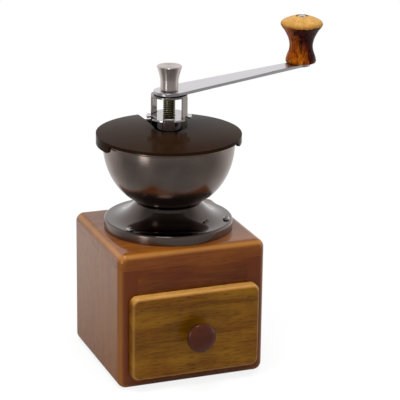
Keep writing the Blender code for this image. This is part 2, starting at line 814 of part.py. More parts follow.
def make_arm(steel, parent):
    arm = place("crank_arm", slab(arm_outline(), arm_foot, arm_top), steel, parent)
    hole = block((-square_hole_half, -square_hole_half, arm_foot - overrun),
                 (square_hole_half, square_hole_half, arm_top + overrun))
    carve(arm, "square_hole", hole)
    axle_hole = cylinder(axle_radius + joint_gap, arm_foot - overrun, arm_top + overrun, small_facets)
    carve(arm, "axle_hole", moved(axle_hole, (arm_reach, 0.0, 0.0)))


def make_fixing_knob(steel, parent):
    """A stem that flares to a flat top, threaded on the shaft's upper stud."""
    top = knob_seat + fixing_knob_height
    flare_foot = knob_seat + stem_height
    flare = []
    for share in np.linspace(0.0, 1.0, 5):
        radius = stem_radius + (fixing_knob_radius - stem_radius) * share ** fixing_knob_flare_power
        flare.append((radius, flare_foot + (top - fixing_knob_edge - flare_foot) * share))
    bore = top_stud_radius + joint_gap
    bore_top = knob_seat + top_stud_length + joint_gap
    outline = [(0.0, bore_top), (bore, bore_top), (bore, knob_seat), (stem_radius, knob_seat), *flare,
               (fixing_knob_radius - fixing_knob_edge, top), (0.0, top)]
    place("fixing_knob", turned(outline, knob_facets), steel, parent)


def make_grip_bolt(steel, parent):
    """The axle the grip spins on: riveted under the arm, with a domed head in the grip's recess."""
    head_foot = recess_floor + joint_gap
    rivet_foot = arm_foot - joint_gap - axle_rivet_height
    outline = [(0.0, rivet_foot), (axle_rivet_radius, rivet_foot), (axle_rivet_radius, arm_foot - joint_gap),
               (axle_radius, arm_foot - joint_gap), (axle_radius, head_foot),
               *head_outline(axle_head_radius, axle_head_height, head_foot)]
    place("grip_bolt", turned(outline, knob_facets), steel, parent)


def make_grip(wood, parent):
    points = [(share_out * grip_radius, knob_seat + share_up * grip_height)
              for share_up, share_out in grip_outline_shares]
    outline = [(axle_bore, knob_seat), *smooth_through(points, grip_curve_steps),
               (grip_recess_radius, knob_seat + grip_height), (grip_recess_radius, recess_floor),
               (axle_bore, recess_floor)]
    place("wooden_grip", turned(outline, knob_facets), wood, parent)


def make_lid(plastic, parent):
    """A shallow dome with a slot for the hub and a skirt tab at each side."""
    top = [(lid_radius * s, lid_crown - lid_rise * s * s) for s in np.linspace(0.0, lid_dome_share, 5)]
    edge = arc((lid_radius - lid_edge_radius, lid_rim_top - lid_edge_radius), lid_edge_radius,
               math.pi / 2, 0.0, 2)
    under = [(lid_radius * s, lid_under + lid_rise * (1 - s * s))
             for s in np.linspace(lid_hollow_share, 0.0, 4)]
    outline = [*top, *edge, (lid_radius, lid_under), *under]
    lid = place("hopper_lid", turned(outline, large_facets), plastic, parent)
    tab_outer = lid_radius - lid_tab_inset
    tab_inner = lid_radius - lid_tab_wall
    tab_foot = lid_under - lid_tab_drop
    tab_top = (lid_under + lid_rim_top) / 2
    loops = []
    for angle in np.linspace(-lid_tab_forward, lid_tab_backward, 8):
        corners = ((tab_inner, tab_foot), (tab_outer, tab_foot), (tab_outer, tab_top), (tab_inner, tab_top))
        loops.append([(r * math.cos(angle), r * math.sin(angle), z) for r, z in corners])
    carve(lid, "right_tab", lofted(loops), "UNION")
    mirrored = [[(-x, y, z) for x, y, z in loop] for loop in loops]
    carve(lid, "left_tab", lofted(mirrored), "UNION")
    end = arc((0.0, 0.0), slot_half, math.pi, math.tau, 16)
    outline = [*end, (slot_half, lid_radius + overrun), (-slot_half, lid_radius + overrun)]
    carve(lid, "slot", slab(outline, lid_under - overrun, lid_crown + overrun))


def front_shape(foot, top, width):
    """The drawer's front board: corners rounded, then its face edges rounded over."""
    back = -half_depth - joint_gap
    shape = block((-width / 2, back - front_thickness, foot), (width / 2, back, top))
    corner_edges = [edge for edge in shape.edges
                    if abs(edge.verts[0].co.y - edge.verts[1].co.y) > front_thickness / 2]
    bmesh.ops.bevel(shape, geom=corner_edges, offset=front_corner_radius, segments=front_corner_segments,
                    profile=0.5, affect="EDGES")
    middle = back - front_thickness / 2
    face_edges = [edge for edge in shape.edges if all(v.co.y < middle for v in edge.verts)]
    bmesh.ops.bevel(shape, geom=face_edges, offset=front_edge_radius, segments=front_edge_segments,
                    profile=0.5, affect="EDGES")
    return shape


def make_drawer(front_wood, inner_wood, knob_wood, steel, parent):
    foot = bottom_thickness - front_lap_below
    top = bay_top + front_lap_above
    knob_height = (foot + top) / 2
    front_back = -half_depth - joint_gap
    front_face = front_back - front_thickness
    front = place("drawer_front", front_shape(foot, top, 2 * (bay_half + front_lap_side)), front_wood, parent)
    hole = cylinder(knob_screw_radius + joint_gap, -overrun, front_thickness + overrun, small_facets)
    bmesh.ops.rotate(hole, verts=hole.verts, matrix=Matrix.Rotation(math.pi / 2, 3, "X"))
    carve(front, "screw_hole", moved(hole, (0.0, front_back, knob_height)))

    half = bay_half - drawer_play
    floor_foot = bottom_thickness + joint_gap
    floor_top = floor_foot + drawer_floor
    wall_foot = floor_top + joint_gap
    wall_top = bay_top - drawer_headroom
    box_front = front_back + joint_gap
    box_back = back_face - drawer_end_play
    place("drawer_bottom", block((-half, box_front, floor_foot), (half, box_back, floor_top)),
          inner_wood, parent)
    place("drawer_left_side", block((-half, box_front, wall_foot), (drawer_wall - half, box_back, wall_top)),
          inner_wood, parent)
    place("drawer_right_side", block((half - drawer_wall, box_front, wall_foot), (half, box_back, wall_top)),
          inner_wood, parent)
    inside = half - drawer_wall - joint_gap
    place("drawer_back", block((-inside, box_back - drawer_wall, wall_foot), (inside, box_back, wall_top)),
          inner_wood, parent)

    screw_depth = knob_screw_bite + joint_gap
    stem = [(0.0, screw_depth), (knob_screw_radius + joint_gap, screw_depth),
            (knob_screw_radius + joint_gap, 0.0), (knob_foot_radius, 0.0),
            (knob_neck_radius, knob_length * knob_neck_low_share),
            (knob_neck_radius, knob_length * knob_neck_high_share)]
    head = [(out * knob_radius, up * knob_length) for up, out in knob_head_shares]
    knob = place("drawer_knob", turned([*stem, *head, (0.0, knob_length)], knob_facets), knob_wood, parent)
    knob.rotation_euler = (math.pi / 2, 0.0, 0.0)
    knob.location = (0.0, front_face - joint_gap, knob_height)
    length = front_thickness + 2 * joint_gap + knob_screw_bite
    shape = screw_shape(knob_screw_radius, length, knob_screw_head_radius, knob_screw_head_height)
    screw = place("drawer_knob_screw", shape, steel, parent)
    screw.rotation_euler = (-math.pi / 2, 0.0, 0.0)
    screw.location = (0.0, front_back + joint_gap, knob_height)


def main():
    clear_scene()
    box_wood = finish("box_wood", (0.55, 0.32, 0.18), 0.4)
    front_wood = finish("drawer_front_wood", (0.45, 0.31, 0.13), 0.5)
    inner_wood = finish("drawer_inner_wood", (0.78, 0.62, 0.42), 0.6)
    knob_wood = finish("knob_wood", (0.30, 0.15, 0.10), 0.3)
    grip_wood = finish("grip_wood", (0.62, 0.36, 0.12), 0.35)
    gunmetal = finish("gunmetal", (0.30, 0.26, 0.25), 0.3, 1.0)
    black_gloss = finish("black_gloss", (0.09, 0.08, 0.08), 0.2, 0.6)
    steel = finish("satin_steel", (0.75, 0.74, 0.73), 0.3, 1.0)
    ceramic = finish("white_ceramic", (0.88, 0.87, 0.84), 0.4)
    bronze = finish("bush_bronze", (0.70, 0.52, 0.28), 0.35, 1.0)
    brown_plastic = finish("brown_plastic", (0.20, 0.14, 0.10), 0.25)

    crank = axis_empty("crank_axis", turn=crank_turn)
    grip = axis_empty("grip_axis", crank, (arm_reach, 0.0, 0.0))
    drawer = axis_empty("drawer_slide")
    lid = axis_empty("lid_slide", turn=lid_turn)

    make_box(box_wood)
    make_pedestal(black_gloss)
    make_flange_screws(steel)
    make_bowl(gunmetal)
    make_bridge(steel, bronze)
    make_spider(steel, bronze)
    make_outer_burr(ceramic)
    make_ring_plate(steel, steel)
    make_shaft(steel, crank)
    make_inner_burr(ceramic, crank)
    make_burr_fasteners(steel, crank)
    make_adjusting_nut(steel, crank)
    make_stopper(steel, crank)
    make_arm(steel, crank)
    make_fixing_knob(steel, crank)
    bolt_place = axis_empty("bolt_place", crank, (arm_reach, 0.0, 0.0))
    make_grip_bolt(steel, bolt_place)
    make_grip(grip_wood, grip)
    make_lid(brown_plastic, lid)
    make_drawer(front_wood, inner_wood, knob_wood, steel, drawer)


main()
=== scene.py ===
# %% [markdown]
# # A box coffee mill, dressed
# The mill's solids are already built and packed: they carry its sizes, its joints and its weight.
# This notebook gives every solid its finished surface. A surface here is a function of two
# numbers, worked out with numpy as one whole array, so that its formula can be read and changed.

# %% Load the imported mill
import math
from collections import namedtuple

import bmesh
import bpy
import numpy as np
from mathutils import Matrix, Vector


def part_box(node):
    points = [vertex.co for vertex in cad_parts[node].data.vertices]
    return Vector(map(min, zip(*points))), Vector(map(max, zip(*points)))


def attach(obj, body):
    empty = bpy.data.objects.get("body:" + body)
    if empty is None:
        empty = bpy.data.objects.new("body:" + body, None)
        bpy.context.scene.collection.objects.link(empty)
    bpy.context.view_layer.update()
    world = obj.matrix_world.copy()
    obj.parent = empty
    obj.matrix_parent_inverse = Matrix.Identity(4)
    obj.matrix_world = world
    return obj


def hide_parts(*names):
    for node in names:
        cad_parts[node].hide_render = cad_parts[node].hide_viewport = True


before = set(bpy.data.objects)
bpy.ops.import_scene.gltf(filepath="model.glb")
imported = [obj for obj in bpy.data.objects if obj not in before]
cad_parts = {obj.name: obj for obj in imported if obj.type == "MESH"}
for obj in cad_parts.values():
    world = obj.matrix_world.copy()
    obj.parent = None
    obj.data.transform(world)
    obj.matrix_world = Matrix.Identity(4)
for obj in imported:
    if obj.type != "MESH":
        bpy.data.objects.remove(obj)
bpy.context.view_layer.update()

MM = 0.001

# %% [markdown]
# ## The camera
# The photograph was taken from a little above the mill, from the drawer's left, with a long lens.
# A camera could be aimed with a constraint, but three angles and a place say the same and can be
# read: first it dips, then it turns about the vertical, and a small roll comes first of all.

# %% Camera
camera_place = np.array((-385.2, -1044.0, 473.6)) * MM
camera_turn = math.radians(21.30)
camera_dip = math.radians(18.22)
camera_roll = math.radians(0.80)
photo_width = 400
sensor_width = 36.0
lens = 163.74


def stand_camera():
    """Rotation about Z by minus the turn, about X from straight down to the dip, then the roll."""
    data = bpy.data.cameras.new("photo_camera")
    data.lens = lens
    data.sensor_width = sensor_width
    camera = bpy.data.objects.new("photo_camera", data)
    bpy.context.scene.collection.objects.link(camera)
    camera.matrix_world = (Matrix.Translation(camera_place) @ Matrix.Rotation(-camera_turn, 4, "Z")
                           @ Matrix.Rotation(math.pi / 2 - camera_dip, 4, "X")
                           @ Matrix.Rotation(camera_roll, 4, "Z"))
    bpy.context.scene.camera = camera
    return camera


camera = stand_camera()


def pixel_of(point):
    """Where a point lands in the photograph's frame: its place in the camera, over its depth."""
    x, y, z = camera.matrix_world.inverted() @ Vector(point)
    scale = lens / sensor_width * photo_width / -z
    return round(photo_width / 2 + x * scale, 1), round(photo_width / 2 - y * scale, 1)


print("foot of the shaft's axis at pixel", pixel_of((0.0, 0.0, 0.0)))

# %% [markdown]
# ## Shader maths as plain Python
# A pattern such as wood grain is a long sum of node outputs. Wiring it by hand hides the formula,
# so a small class wraps one output and overloads the operators: `1 - mask * 0.5` then adds its own
# Math nodes. Every other node comes from one method.

# %% A wire between shader nodes


class Wire:
    """One output of a node. Arithmetic on wires and numbers adds Math nodes."""

    def __init__(self, tree, socket):
        self.tree = tree
        self.socket = socket

    def maths(self, operation, *values):
        """One Math node. Its values are wires or numbers."""
        return add_node(self.tree, "ShaderNodeMath", {"operation": operation}, dict(enumerate(values)))

    def __add__(self, other):
        return self.maths("ADD", self, other)

    def __sub__(self, other):
        return self.maths("SUBTRACT", self, other)

    def __rsub__(self, other):
        return self.maths("SUBTRACT", other, self)

    def __mul__(self, other):
        return self.maths("MULTIPLY", self, other)

    def __truediv__(self, other):
        return self.maths("DIVIDE", self, other)

    def __pow__(self, other):
        return self.maths("POWER", self, other)

    __radd__ = __add__
    __rmul__ = __mul__


def add_node(tree, kind, settings=(), sockets=(), output=0):
    """Add a node: settings first, then a value or a wire for each socket. Gives one output back.
    A ramp's stops are (place, colour) pairs."""
    node = tree.nodes.new(kind)
    for name, value in dict(settings).items():
        if name == "stops":
            ramp = node.color_ramp
            for place, colour in value:
                stop = ramp.elements.new(place)
                stop.color = (*colour, 1.0)
            ramp.elements.remove(ramp.elements[0])
            ramp.elements.remove(ramp.elements[-1])
        else:
            setattr(node, name, value)
    for name, value in dict(sockets).items():
        feed(tree, node.inputs[name], value)
    return Wire(tree, node.outputs[output])


def feed(tree, socket, value):
    """Put a number, a colour or a wire into a socket."""
    if isinstance(value, Wire):
        tree.links.new(value.socket, socket)
    elif socket.type == "RGBA":
        socket.default_value = (*value[:3], 1.0)
    else:
        socket.default_value = value


# %% [markdown]
# Colours are easiest to think of as they look on a screen. Blender works in linear light, so one
# small function turns a screen colour of 0 to 255 into the numbers that a shader wants.

# %% Screen colours
screen_curve = 2.2


def screen(red, green, blue):
    """Linear light from a screen colour: the standard curve is close to a power of 2.2."""
    return tuple((channel / 255) ** screen_curve for channel in (red, green, blue))


print("half of full brightness on a screen is", round(screen(128, 128, 128)[0], 3), "of its light")

# %% [markdown]
# Every finish starts from Blender's Principled shader. What is the same all over the surface is set
# on the shader's own sockets, and what changes over it is wired up: colour, roughness and a bump.
# Patterns read Object coordinates, so they stay in the piece when it moves, and need no unwrapping.

# %% A finish with its own small toolbox


def smooth_step(tree, value, low, high, start=0.0, end=1.0):
    """The start below low, the end above high, and a smooth rise between: t * t * (3 - 2 t)."""
    return add_node(tree, "ShaderNodeMapRange", {"interpolation_type": "SMOOTHSTEP"}, {
        "Value": value, "From Min": low, "From Max": high, "To Min": start, "To Max": end})


class Finish:
    """A Principled material in the making. Fixed numbers go straight on the shader's sockets."""

    def __init__(self, name, **fixed):
        self.material = bpy.data.materials.new(name)
        self.material.use_nodes = True
        self.tree = self.material.node_tree
        self.shader = self.tree.nodes["Principled BSDF"]
        for socket, value in fixed.items():
            self.set(socket.replace("_", " "), value)
        self.place = add_node(self.tree, "ShaderNodeTexCoord", output="Object")
        print("finish:", name)

    def set(self, socket, value):
        feed(self.tree, self.shader.inputs[socket], value)

    def noise_on(self, place, detail=3.0, roughness=0.5, distortion=0.0):
        """Smooth noise from 0 to 1, about one bump for each unit of the place."""
        return add_node(self.tree, "ShaderNodeTexNoise", {}, {
            "Vector": place, "Scale": 1.0, "Detail": detail, "Roughness": roughness,
            "Distortion": distortion}, "Fac")

    def noise(self, size, turn=0.0, **character):
        """Noise on Object coordinates that are turned about Z, then divided by a bump's size in
        millimetres: one number, or one for each axis."""
        turned_place = add_node(self.tree, "ShaderNodeMapping", {"vector_type": "POINT"}, {
            "Vector": self.place, "Rotation": (0.0, 0.0, turn)})
        place = add_node(self.tree, "ShaderNodeVectorMath", {"operation": "MULTIPLY"}, {
            0: turned_place, 1: tuple(1 / (MM * length) for length in np.broadcast_to(size, 3))})
        return self.noise_on(place, **character)

    def step(self, value, low, high):
        """0 below low, 1 above high, and a smooth rise between."""
        return smooth_step(self.tree, value, low, high)

    def mix(self, factor, first, second):
        """One colour over another: the first where the factor is 0, the second where it is 1."""
        return add_node(self.tree, "ShaderNodeMix", {"data_type": "RGBA"},
                        {0: factor, 6: first, 7: second}, 2)

    def ramp(self, value, *stops):
        """A colour that runs through stops of (place, colour) as the value rises."""
        return add_node(self.tree, "ShaderNodeValToRGB", {"stops": stops}, {"Fac": value})

    def parts(self, place):
        """The X, Y and Z of a place as three wires."""
        split = add_node(self.tree, "ShaderNodeSeparateXYZ", {}, {"Vector": place}).socket.node
        return [Wire(self.tree, output) for output in split.outputs]

    def off_axis(self):
        """How far a point is from the shaft's axis: the root of x^2 + y^2."""
        x, y, z = self.parts(self.place)
        return (x * x + y * y) ** 0.5

    def facing(self):
        """The X, Y and Z of the direction in which the surface faces."""
        return self.parts(add_node(self.tree, "ShaderNodeTexCoord", output="Normal"))

    def rounding(self, least):
        """1 on a round between flats, where 1 - the normal's largest part grows, if it faces up, which is a
        painted highlight. It falls to the least where it doesn't: sanded paleness with some painted sheen."""
        facing = self.facing()
        x, y, z = (part.maths("ABSOLUTE", part) for part in facing)
        largest = x.maths("MAXIMUM", x.maths("MAXIMUM", x, y), z)
        painted_top_light_share = self.step(facing[2], 0.0, 0.7)
        return self.step(1 - largest, 0.02, 0.24) * (least + painted_top_light_share * (1 - least))

    def done(self, colour, roughness, height=None, depth=0.0, strength=1.0):
        """Give the shader its colour, its roughness and a bump of a height of 0 to 1 times a depth."""
        self.set("Base Color", colour)
        self.set("Roughness", roughness)
        if height:
            self.set("Normal", add_node(self.tree, "ShaderNodeBump", {}, {
                "Height": height, "Distance": depth, "Strength": strength}))
        return self.material


# %% [markdown]
# ## Wood
# The box is a stained and varnished plantation wood. Along the grain everything is drawn out ten
# times or more, so each pattern is plain noise on stretched coordinates: broad bands for the
# boards' figure, fine lines for the fibres, and short dark dashes for the open pores. A photograph
# of wood would show more, but noise has no seams and runs round every edge of a board.

# %% One recipe for every board


def wood(name, grain, light, dark, red, pore, edge, pores=0.5, pore_size=(4.6, 0.36), figure=1.0,
         front_redness=0.0, painted_top_highlight=0.0, sanding_and_sheen_on_sides=0.15, varnish=0.9, gloss=0.14, dull=0.42,
         rough_grain=0.5, shift=0.0):
    """Wood whose grain runs along axis 0, 1 or 2. Its colour is light and dark fibre mixed by fine
    noise, reddened in broad bands, with pores where a sharp noise rises over a threshold, and
    paler where the surface turns away from all three axes, partly where sandpaper thins a stain and
    partly as a painted highlight, most where it faces up. A face to the front can be mixed towards
    the red tone, and a top that faces up is made paler, a painted highlight. All gloss is the varnish's."""
    finish = Finish(name, Coat_Weight=varnish, Coat_Roughness=gloss,
                    Specular_IOR_Level=0.0 if varnish else 0.3)
    finish.place = add_node(finish.tree, "ShaderNodeVectorMath", {"operation": "ADD"}, {
        0: finish.place, 1: (shift, shift * 0.7, shift * 1.3)})

    def stretched(along, across):
        """A bump's size: one number along the grain, another across it both ways."""
        size = [across] * 3
        size[grain] = along
        return size

    bands = finish.noise(stretched(70.0, 9.0), distortion=0.6)
    fibres = finish.noise(stretched(14.0, 0.55), detail=4.0, roughness=0.6)
    dashes = finish.noise(stretched(*pore_size), detail=1.0)
    clumps = finish.noise(stretched(26.0, 8.0), detail=2.0)
    shade = finish.step(fibres * 0.45 + bands * 0.55, 0.34, 0.66)
    colour = finish.mix(shade * figure + (1 - figure) / 2, dark, light)
    colour = finish.mix(finish.step(clumps, 0.42, 0.72) * 0.6 * figure, colour, red)
    facing = finish.facing()
    # A face to the front is mixed towards the red tone.
    if front_redness:
        colour = finish.mix(finish.step(facing[1] * -1, 0.6, 0.95) * front_redness, colour, red)
    # A top that faces up is mixed towards the pale edge tone: a painted highlight.
    if painted_top_highlight:
        colour = finish.mix(finish.step(facing[2], 0.6, 0.95) * painted_top_highlight, colour, edge)
    threshold = 0.665 - clumps * 0.12
    pitted = finish.step(dashes - threshold, 0.0, 0.05) * pores
    colour = finish.mix(pitted, colour, pore)
    # Rounds are mixed towards the pale edge tone: partly sanding that thins the stain, partly a painted
    # highlight, strongest on rounds that face up.
    colour = finish.mix(finish.rounding(sanding_and_sheen_on_sides) * (0.55 - fibres * 0.4), colour, edge)
    roughness = dull + (0.5 - fibres) * 0.2 + pitted * 0.2
    return finish.done(colour, roughness, fibres * 0.35 - pitted, 0.06 * MM, rough_grain)


# %% [markdown]
# The box, the drawer's front, the bare boards inside and the knob are cut from differently stained
# wood. Their tones could be typed in as they look in the photograph, but light and varnish change
# them on the way, so each set was found by rendering and comparing until it looked alike.

# %% Tones, and the woods made from them
# Each edge tone is both the paleness of sanded rounds and a painted highlight on rounds and tops that face
# up.
box_tones = {"light": screen(106, 58, 14), "dark": screen(80, 38, 8), "red": screen(84, 36, 10),
             "pore": screen(46, 22, 8), "edge": screen(196, 138, 70)}
side_tones = {**box_tones, "light": screen(130, 83, 38), "dark": screen(106, 60, 22)}
top_tones = {**box_tones, "light": screen(134, 80, 28), "dark": screen(96, 50, 14)}
front_tones = {"light": screen(122, 83, 20), "dark": screen(86, 54, 12), "red": screen(98, 56, 14),
               "pore": screen(52, 30, 8), "edge": screen(214, 158, 88)}
inner_tones = {"light": screen(205, 172, 126), "dark": screen(178, 140, 94), "red": screen(186, 148, 102),
               "pore": screen(120, 86, 54), "edge": screen(210, 180, 136)}
knob_tones = {"light": screen(74, 36, 18), "dark": screen(56, 25, 12), "red": screen(64, 26, 14),
              "pore": screen(34, 14, 8), "edge": screen(70, 32, 18)}
wood_rail = wood("box_wood_rail", 0, pores=0.4, pore_size=(9.0, 0.3), **box_tones)
wood_side = wood("box_wood_side", 2, pores=0.0, figure=0.22, front_redness=0.85, rough_grain=0.05,
                 shift=0.31, **side_tones)
wood_top = wood("box_wood_top", 0, pores=0.15, figure=0.6, front_redness=0.3, shift=0.77, **top_tones)
wood_front = wood("drawer_front_wood", 0, pores=0.75, pore_size=(8.0, 0.27), painted_top_highlight=0.5,
                  sanding_and_sheen_on_sides=0.4, varnish=0.6, shift=0.12, **front_tones)
wood_drawer = wood("drawer_side_wood", 1, pores=0.4, varnish=0.0, dull=0.6, **inner_tones)
wood_drawer_back = wood("drawer_back_wood", 0, pores=0.4, varnish=0.0, dull=0.6, **inner_tones)
wood_knob = wood("knob_wood", 0, pores=0.05, figure=0.5, rough_grain=0.1, gloss=0.1, **knob_tones)

# %% [markdown]
# The grip is turned from a wood of strong contrast: amber sapwood above, and dark heartwood that
# licks up one side like a flame. It could be painted by hand on a map of the grip. Here the dark is
# a half space whose edge is pushed about by noise drawn out along the grain, so it runs through the
# wood as it does in the real blank, and the paler crown shows the rings of the end grain as rays.

# %% Grip wood
grip_low, grip_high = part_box("wooden_grip")
grip_middle = (grip_low + grip_high) / 2
heart_side = math.radians(-25)
heart_reach = 10 * MM
crown_reach = 14 * MM
crown_start = 0.68
ray_count = 9.0


def grip_wood():
    """Mask = a point's distance towards the heartwood's side, plus stretched noise, through a step."""
    finish = Finish("grip_wood", Coat_Weight=0.1, Coat_Roughness=0.2, Specular_IOR_Level=0.05)
    tree = finish.tree
    finish.place = add_node(tree, "ShaderNodeMapping", {"vector_type": "POINT"}, {
        "Vector": finish.place, "Location": tuple(-grip_middle)})
    x, y, z = finish.parts(finish.place)
    towards = (x * math.cos(heart_side) + y * math.sin(heart_side)) / heart_reach
    up = z / crown_reach
    flames = finish.noise((3.2, 3.2, 15.0), roughness=0.55, distortion=0.5)
    fine = finish.noise((0.7, 0.7, 11.0))
    above = finish.step(up - crown_start + (flames - 0.5) * 0.2, -0.03, 0.04)
    heart = finish.step(towards + up * 0.8 + (flames - 0.5) * 2.2 - above * 9, -0.55, 0.2)
    amber = finish.ramp(fine * 0.5 + flames * 0.5, (0.36, screen(84, 22, 4)), (0.48, screen(128, 56, 4)),
                        (0.62, screen(170, 100, 12)))
    level = add_node(tree, "ShaderNodeCombineXYZ", {}, {"X": x, "Y": y, "Z": 0.0})
    spoke = add_node(tree, "ShaderNodeVectorMath", {"operation": "NORMALIZE"}, {0: level})
    spoke = add_node(tree, "ShaderNodeVectorMath", {"operation": "MULTIPLY"}, {
        0: spoke, 1: (ray_count, ray_count, ray_count)})
    rays = finish.step(finish.noise_on(spoke, detail=2.0), 0.34, 0.56)
    pale = finish.mix(rays * 0.15 + flames * 0.9, screen(130, 84, 26), screen(204, 160, 94))
    pale = finish.mix(finish.step(up, 0.95, 0.72) * 0.6, pale, screen(150, 100, 28))
    crown = finish.mix(above, amber, pale)
    dark = finish.mix(finish.step(fine, 0.4, 0.66), screen(18, 7, 7), screen(72, 13, 5))
    return finish.done(finish.mix(heart, crown, dark), 0.45, fine, 0.05 * MM, 0.4)


wood_grip = grip_wood()

# %% [markdown]
# ## Metals, plastic and ceramic
# Brushed steel keeps its lines in the roughness and in a very shallow bump, drawn out along the
# direction of brushing. Turned parts are lined round their axis: coordinates that change fast with
# height, and slowly sideways, do that. Real scratches would need millions of faces, and these lines
# are too fine to cast a shadow, so shading alone shows them.

# %% Steels
arm_turn = math.atan2(grip_middle.y, grip_middle.x)


def steel(name, colour, dull, size, turn=0.0, depth=0.006 * MM, streak=0.12, lathe=0.0, sheared=0.0):
    """Metal with lines along the longest size of its noise: both roughness and bump follow them. Lathe
    lines draw its highlights out along the axis, and sheared edges are darker than its flats."""
    finish = Finish(name, Metallic=1.0, Anisotropic=lathe, Anisotropic_Rotation=0.25)
    lines = finish.noise(size, turn, detail=4.0, roughness=0.65)
    cloud = finish.noise(9.0, detail=2.0)
    shade = finish.step(lines * 0.7 + cloud * 0.3, 0.25, 0.75)
    colour = finish.mix(shade, tuple(c * (1 - streak) for c in colour), colour)
    if sheared:
        up = finish.facing()[2]
        side = 1 - finish.step(up.maths("ABSOLUTE", up), 0.5, 0.9)
        colour = finish.mix(side * sheared, colour, (0.0, 0.0, 0.0))
    roughness = dull + (lines - 0.5) * 0.16 + (cloud - 0.5) * 0.06
    return finish.done(colour, roughness, lines, depth, 0.6)


steel_arm = steel("brushed_steel_arm", screen(224, 221, 224), 0.30, (30.0, 0.12, 0.5), turn=-arm_turn,
                  sheared=0.4)
steel_turned = steel("turned_steel", screen(208, 196, 190), 0.30, (4.0, 4.0, 0.1), lathe=0.8)
steel_plate = steel("satin_steel_plate", screen(144, 136, 131), 0.14, (2.5, 2.5, 0.6))
steel_screw = steel("bright_steel_screw", screen(214, 210, 206), 0.16, 0.6)
steel_inner = steel("mill_steel", screen(178, 176, 172), 0.34, 1.5)
chrome_hub = steel("hub_chrome", screen(205, 200, 202), 0.12, (3.0, 3.0, 0.15), depth=0.002 * MM)
brass = steel("bush_brass", screen(196, 164, 104), 0.3, (3.0, 3.0, 0.12))

# %% [markdown]
# The shaft's thread is oily steel, with painted shade in its grooves and a painted highlight on its
# crests. The grooves could be given a material of their own, face by face. The distance from the axis
# says the same in one step, because only the crests reach the full radius.

# %% Oiled thread
thread_root = 3.3 * MM
thread_crest = 3.9 * MM


def thread_steel():
    """Oiled steel: painted highlight on the crests, painted shade in the grooves, by distance from the axis.
    """
    finish = Finish("threaded_steel", Metallic=1.0)
    film = finish.noise((1.2, 1.2, 0.4))
    painted_crest_light = finish.step(finish.off_axis(), thread_root * 0.7 + thread_crest * 0.3, thread_crest)
    # Painted shade in the grooves and a painted highlight on the crests.
    colour = finish.mix(painted_crest_light, screen(24, 22, 13), screen(150, 146, 114))
    return finish.done(colour, 0.3 + (film - 0.5) * 0.2)


steel_thread = thread_steel()

# %% [markdown]
# The hopper is plated a warm gunmetal with a soft gloss: a metal that mirrors its surroundings, with
# a faint cloudiness. The pedestal under it is darker and polished, under a clear film that mirrors
# the more, the flatter it is looked at: black at the neck and bright on the flange. Only the rim of
# the flange is brushed. One metal with one roughness would look like plastic here, so both are
# mixed from two tones, by height on the bowl and by radius on the flange. The darker tone at the
# bowl's foot is painted shade, which dims what the foot mirrors.

# %% Gunmetal plating, satin and polished
painted_foot_shade = (8 * MM, 18 * MM)
rim_brushing = (0.6 * MM, 0.2 * MM)


def gunmetal_plating():
    """Dark plating, with painted shade at its foot: cloudy, with a ripple too shallow to see but in a
    reflection.
    """
    finish = Finish("gunmetal_plating", Metallic=1.0)
    above_foot = finish.parts(finish.place)[2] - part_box("hopper_bowl")[0].z
    cloud = finish.noise(14.0)
    speckle = finish.noise(0.35, detail=2.0)
    plating = finish.mix(finish.step(cloud, 0.3, 0.7), screen(126, 113, 107), screen(140, 125, 118))
    # Painted shade: the bowl's foot is darker, so that it mirrors less.
    colour = finish.mix(finish.step(above_foot, *painted_foot_shade), screen(100, 86, 80), plating)
    roughness = 0.23 + (cloud - 0.5) * 0.08 + (speckle - 0.5) * 0.05
    return finish.done(colour, roughness, cloud, 0.02 * MM, 0.4)


def polished_plating():
    """A blacker metal, smooth enough to show what it mirrors, but for a brushed rim."""
    finish = Finish("polished_plating", Metallic=1.0, Coat_Roughness=0.04)
    rim_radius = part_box("pedestal")[1].x
    brushed = finish.step(finish.off_axis(), *(rim_radius - inwards for inwards in rim_brushing))
    cloud = finish.noise(18.0)
    speckle = finish.noise(0.3, detail=2.0)
    finish.set("Coat Weight", (1 - brushed) * 0.35)
    colour = finish.mix(brushed, screen(86, 75, 71), screen(124, 110, 104))
    roughness = 0.06 + cloud * 0.04 + (speckle - 0.5) * 0.03 + brushed * 0.12
    return finish.done(colour, roughness, cloud, 0.01 * MM, 0.4)


gunmetal = gunmetal_plating()
black_gloss = polished_plating()

# %% [markdown]
# The lid is moulded in dark plastic, and the burrs are fired ceramic. Both are dull to the eye. What
# tells them apart is how they scatter light: the plastic hides a little gloss in a fine even grain,
# and the ceramic is dry, pale and specked.

# %% Lid plastic and burr ceramic


def lid_plastic():
    """Dark brown moulded plastic: a fine even grain in the bump and slight cloud in the gloss."""
    finish = Finish("lid_brown_plastic", IOR=1.065)
    cloud = finish.noise(16.0, detail=2.0)
    grain = finish.noise(0.22, detail=2.0)
    colour = finish.mix(cloud, screen(36, 25, 17), screen(43, 29, 19))
    return finish.done(colour, 0.16 + cloud * 0.06 + (grain - 0.5) * 0.06, grain, 0.008 * MM, 0.5)


def burr_ceramic():
    """Fired ceramic: off-white with faint warm clouds and small dark specks, and a dry surface."""
    finish = Finish("burr_ceramic", IOR=1.6)
    cloud = finish.noise(5.0)
    specks = finish.step(finish.noise(0.5, detail=1.0), 0.74, 0.78)
    body = finish.mix(cloud, screen(226, 222, 210), screen(238, 234, 226))
    colour = finish.mix(specks * 0.5, body, screen(150, 138, 120))
    return finish.done(colour, 0.42 + cloud * 0.12, cloud, 0.02 * MM, 0.4)


plastic = lid_plastic()
ceramic = burr_ceramic()

# %% [markdown]
# ## Surfaces from grids
# A sheet is an array of points with rows and columns. Its faces join neighbouring points, and it
# may close on itself in either direction. Where points fall together, at a pole or a seam, they
# are merged, and the finished mesh is turned so that its faces point outwards.

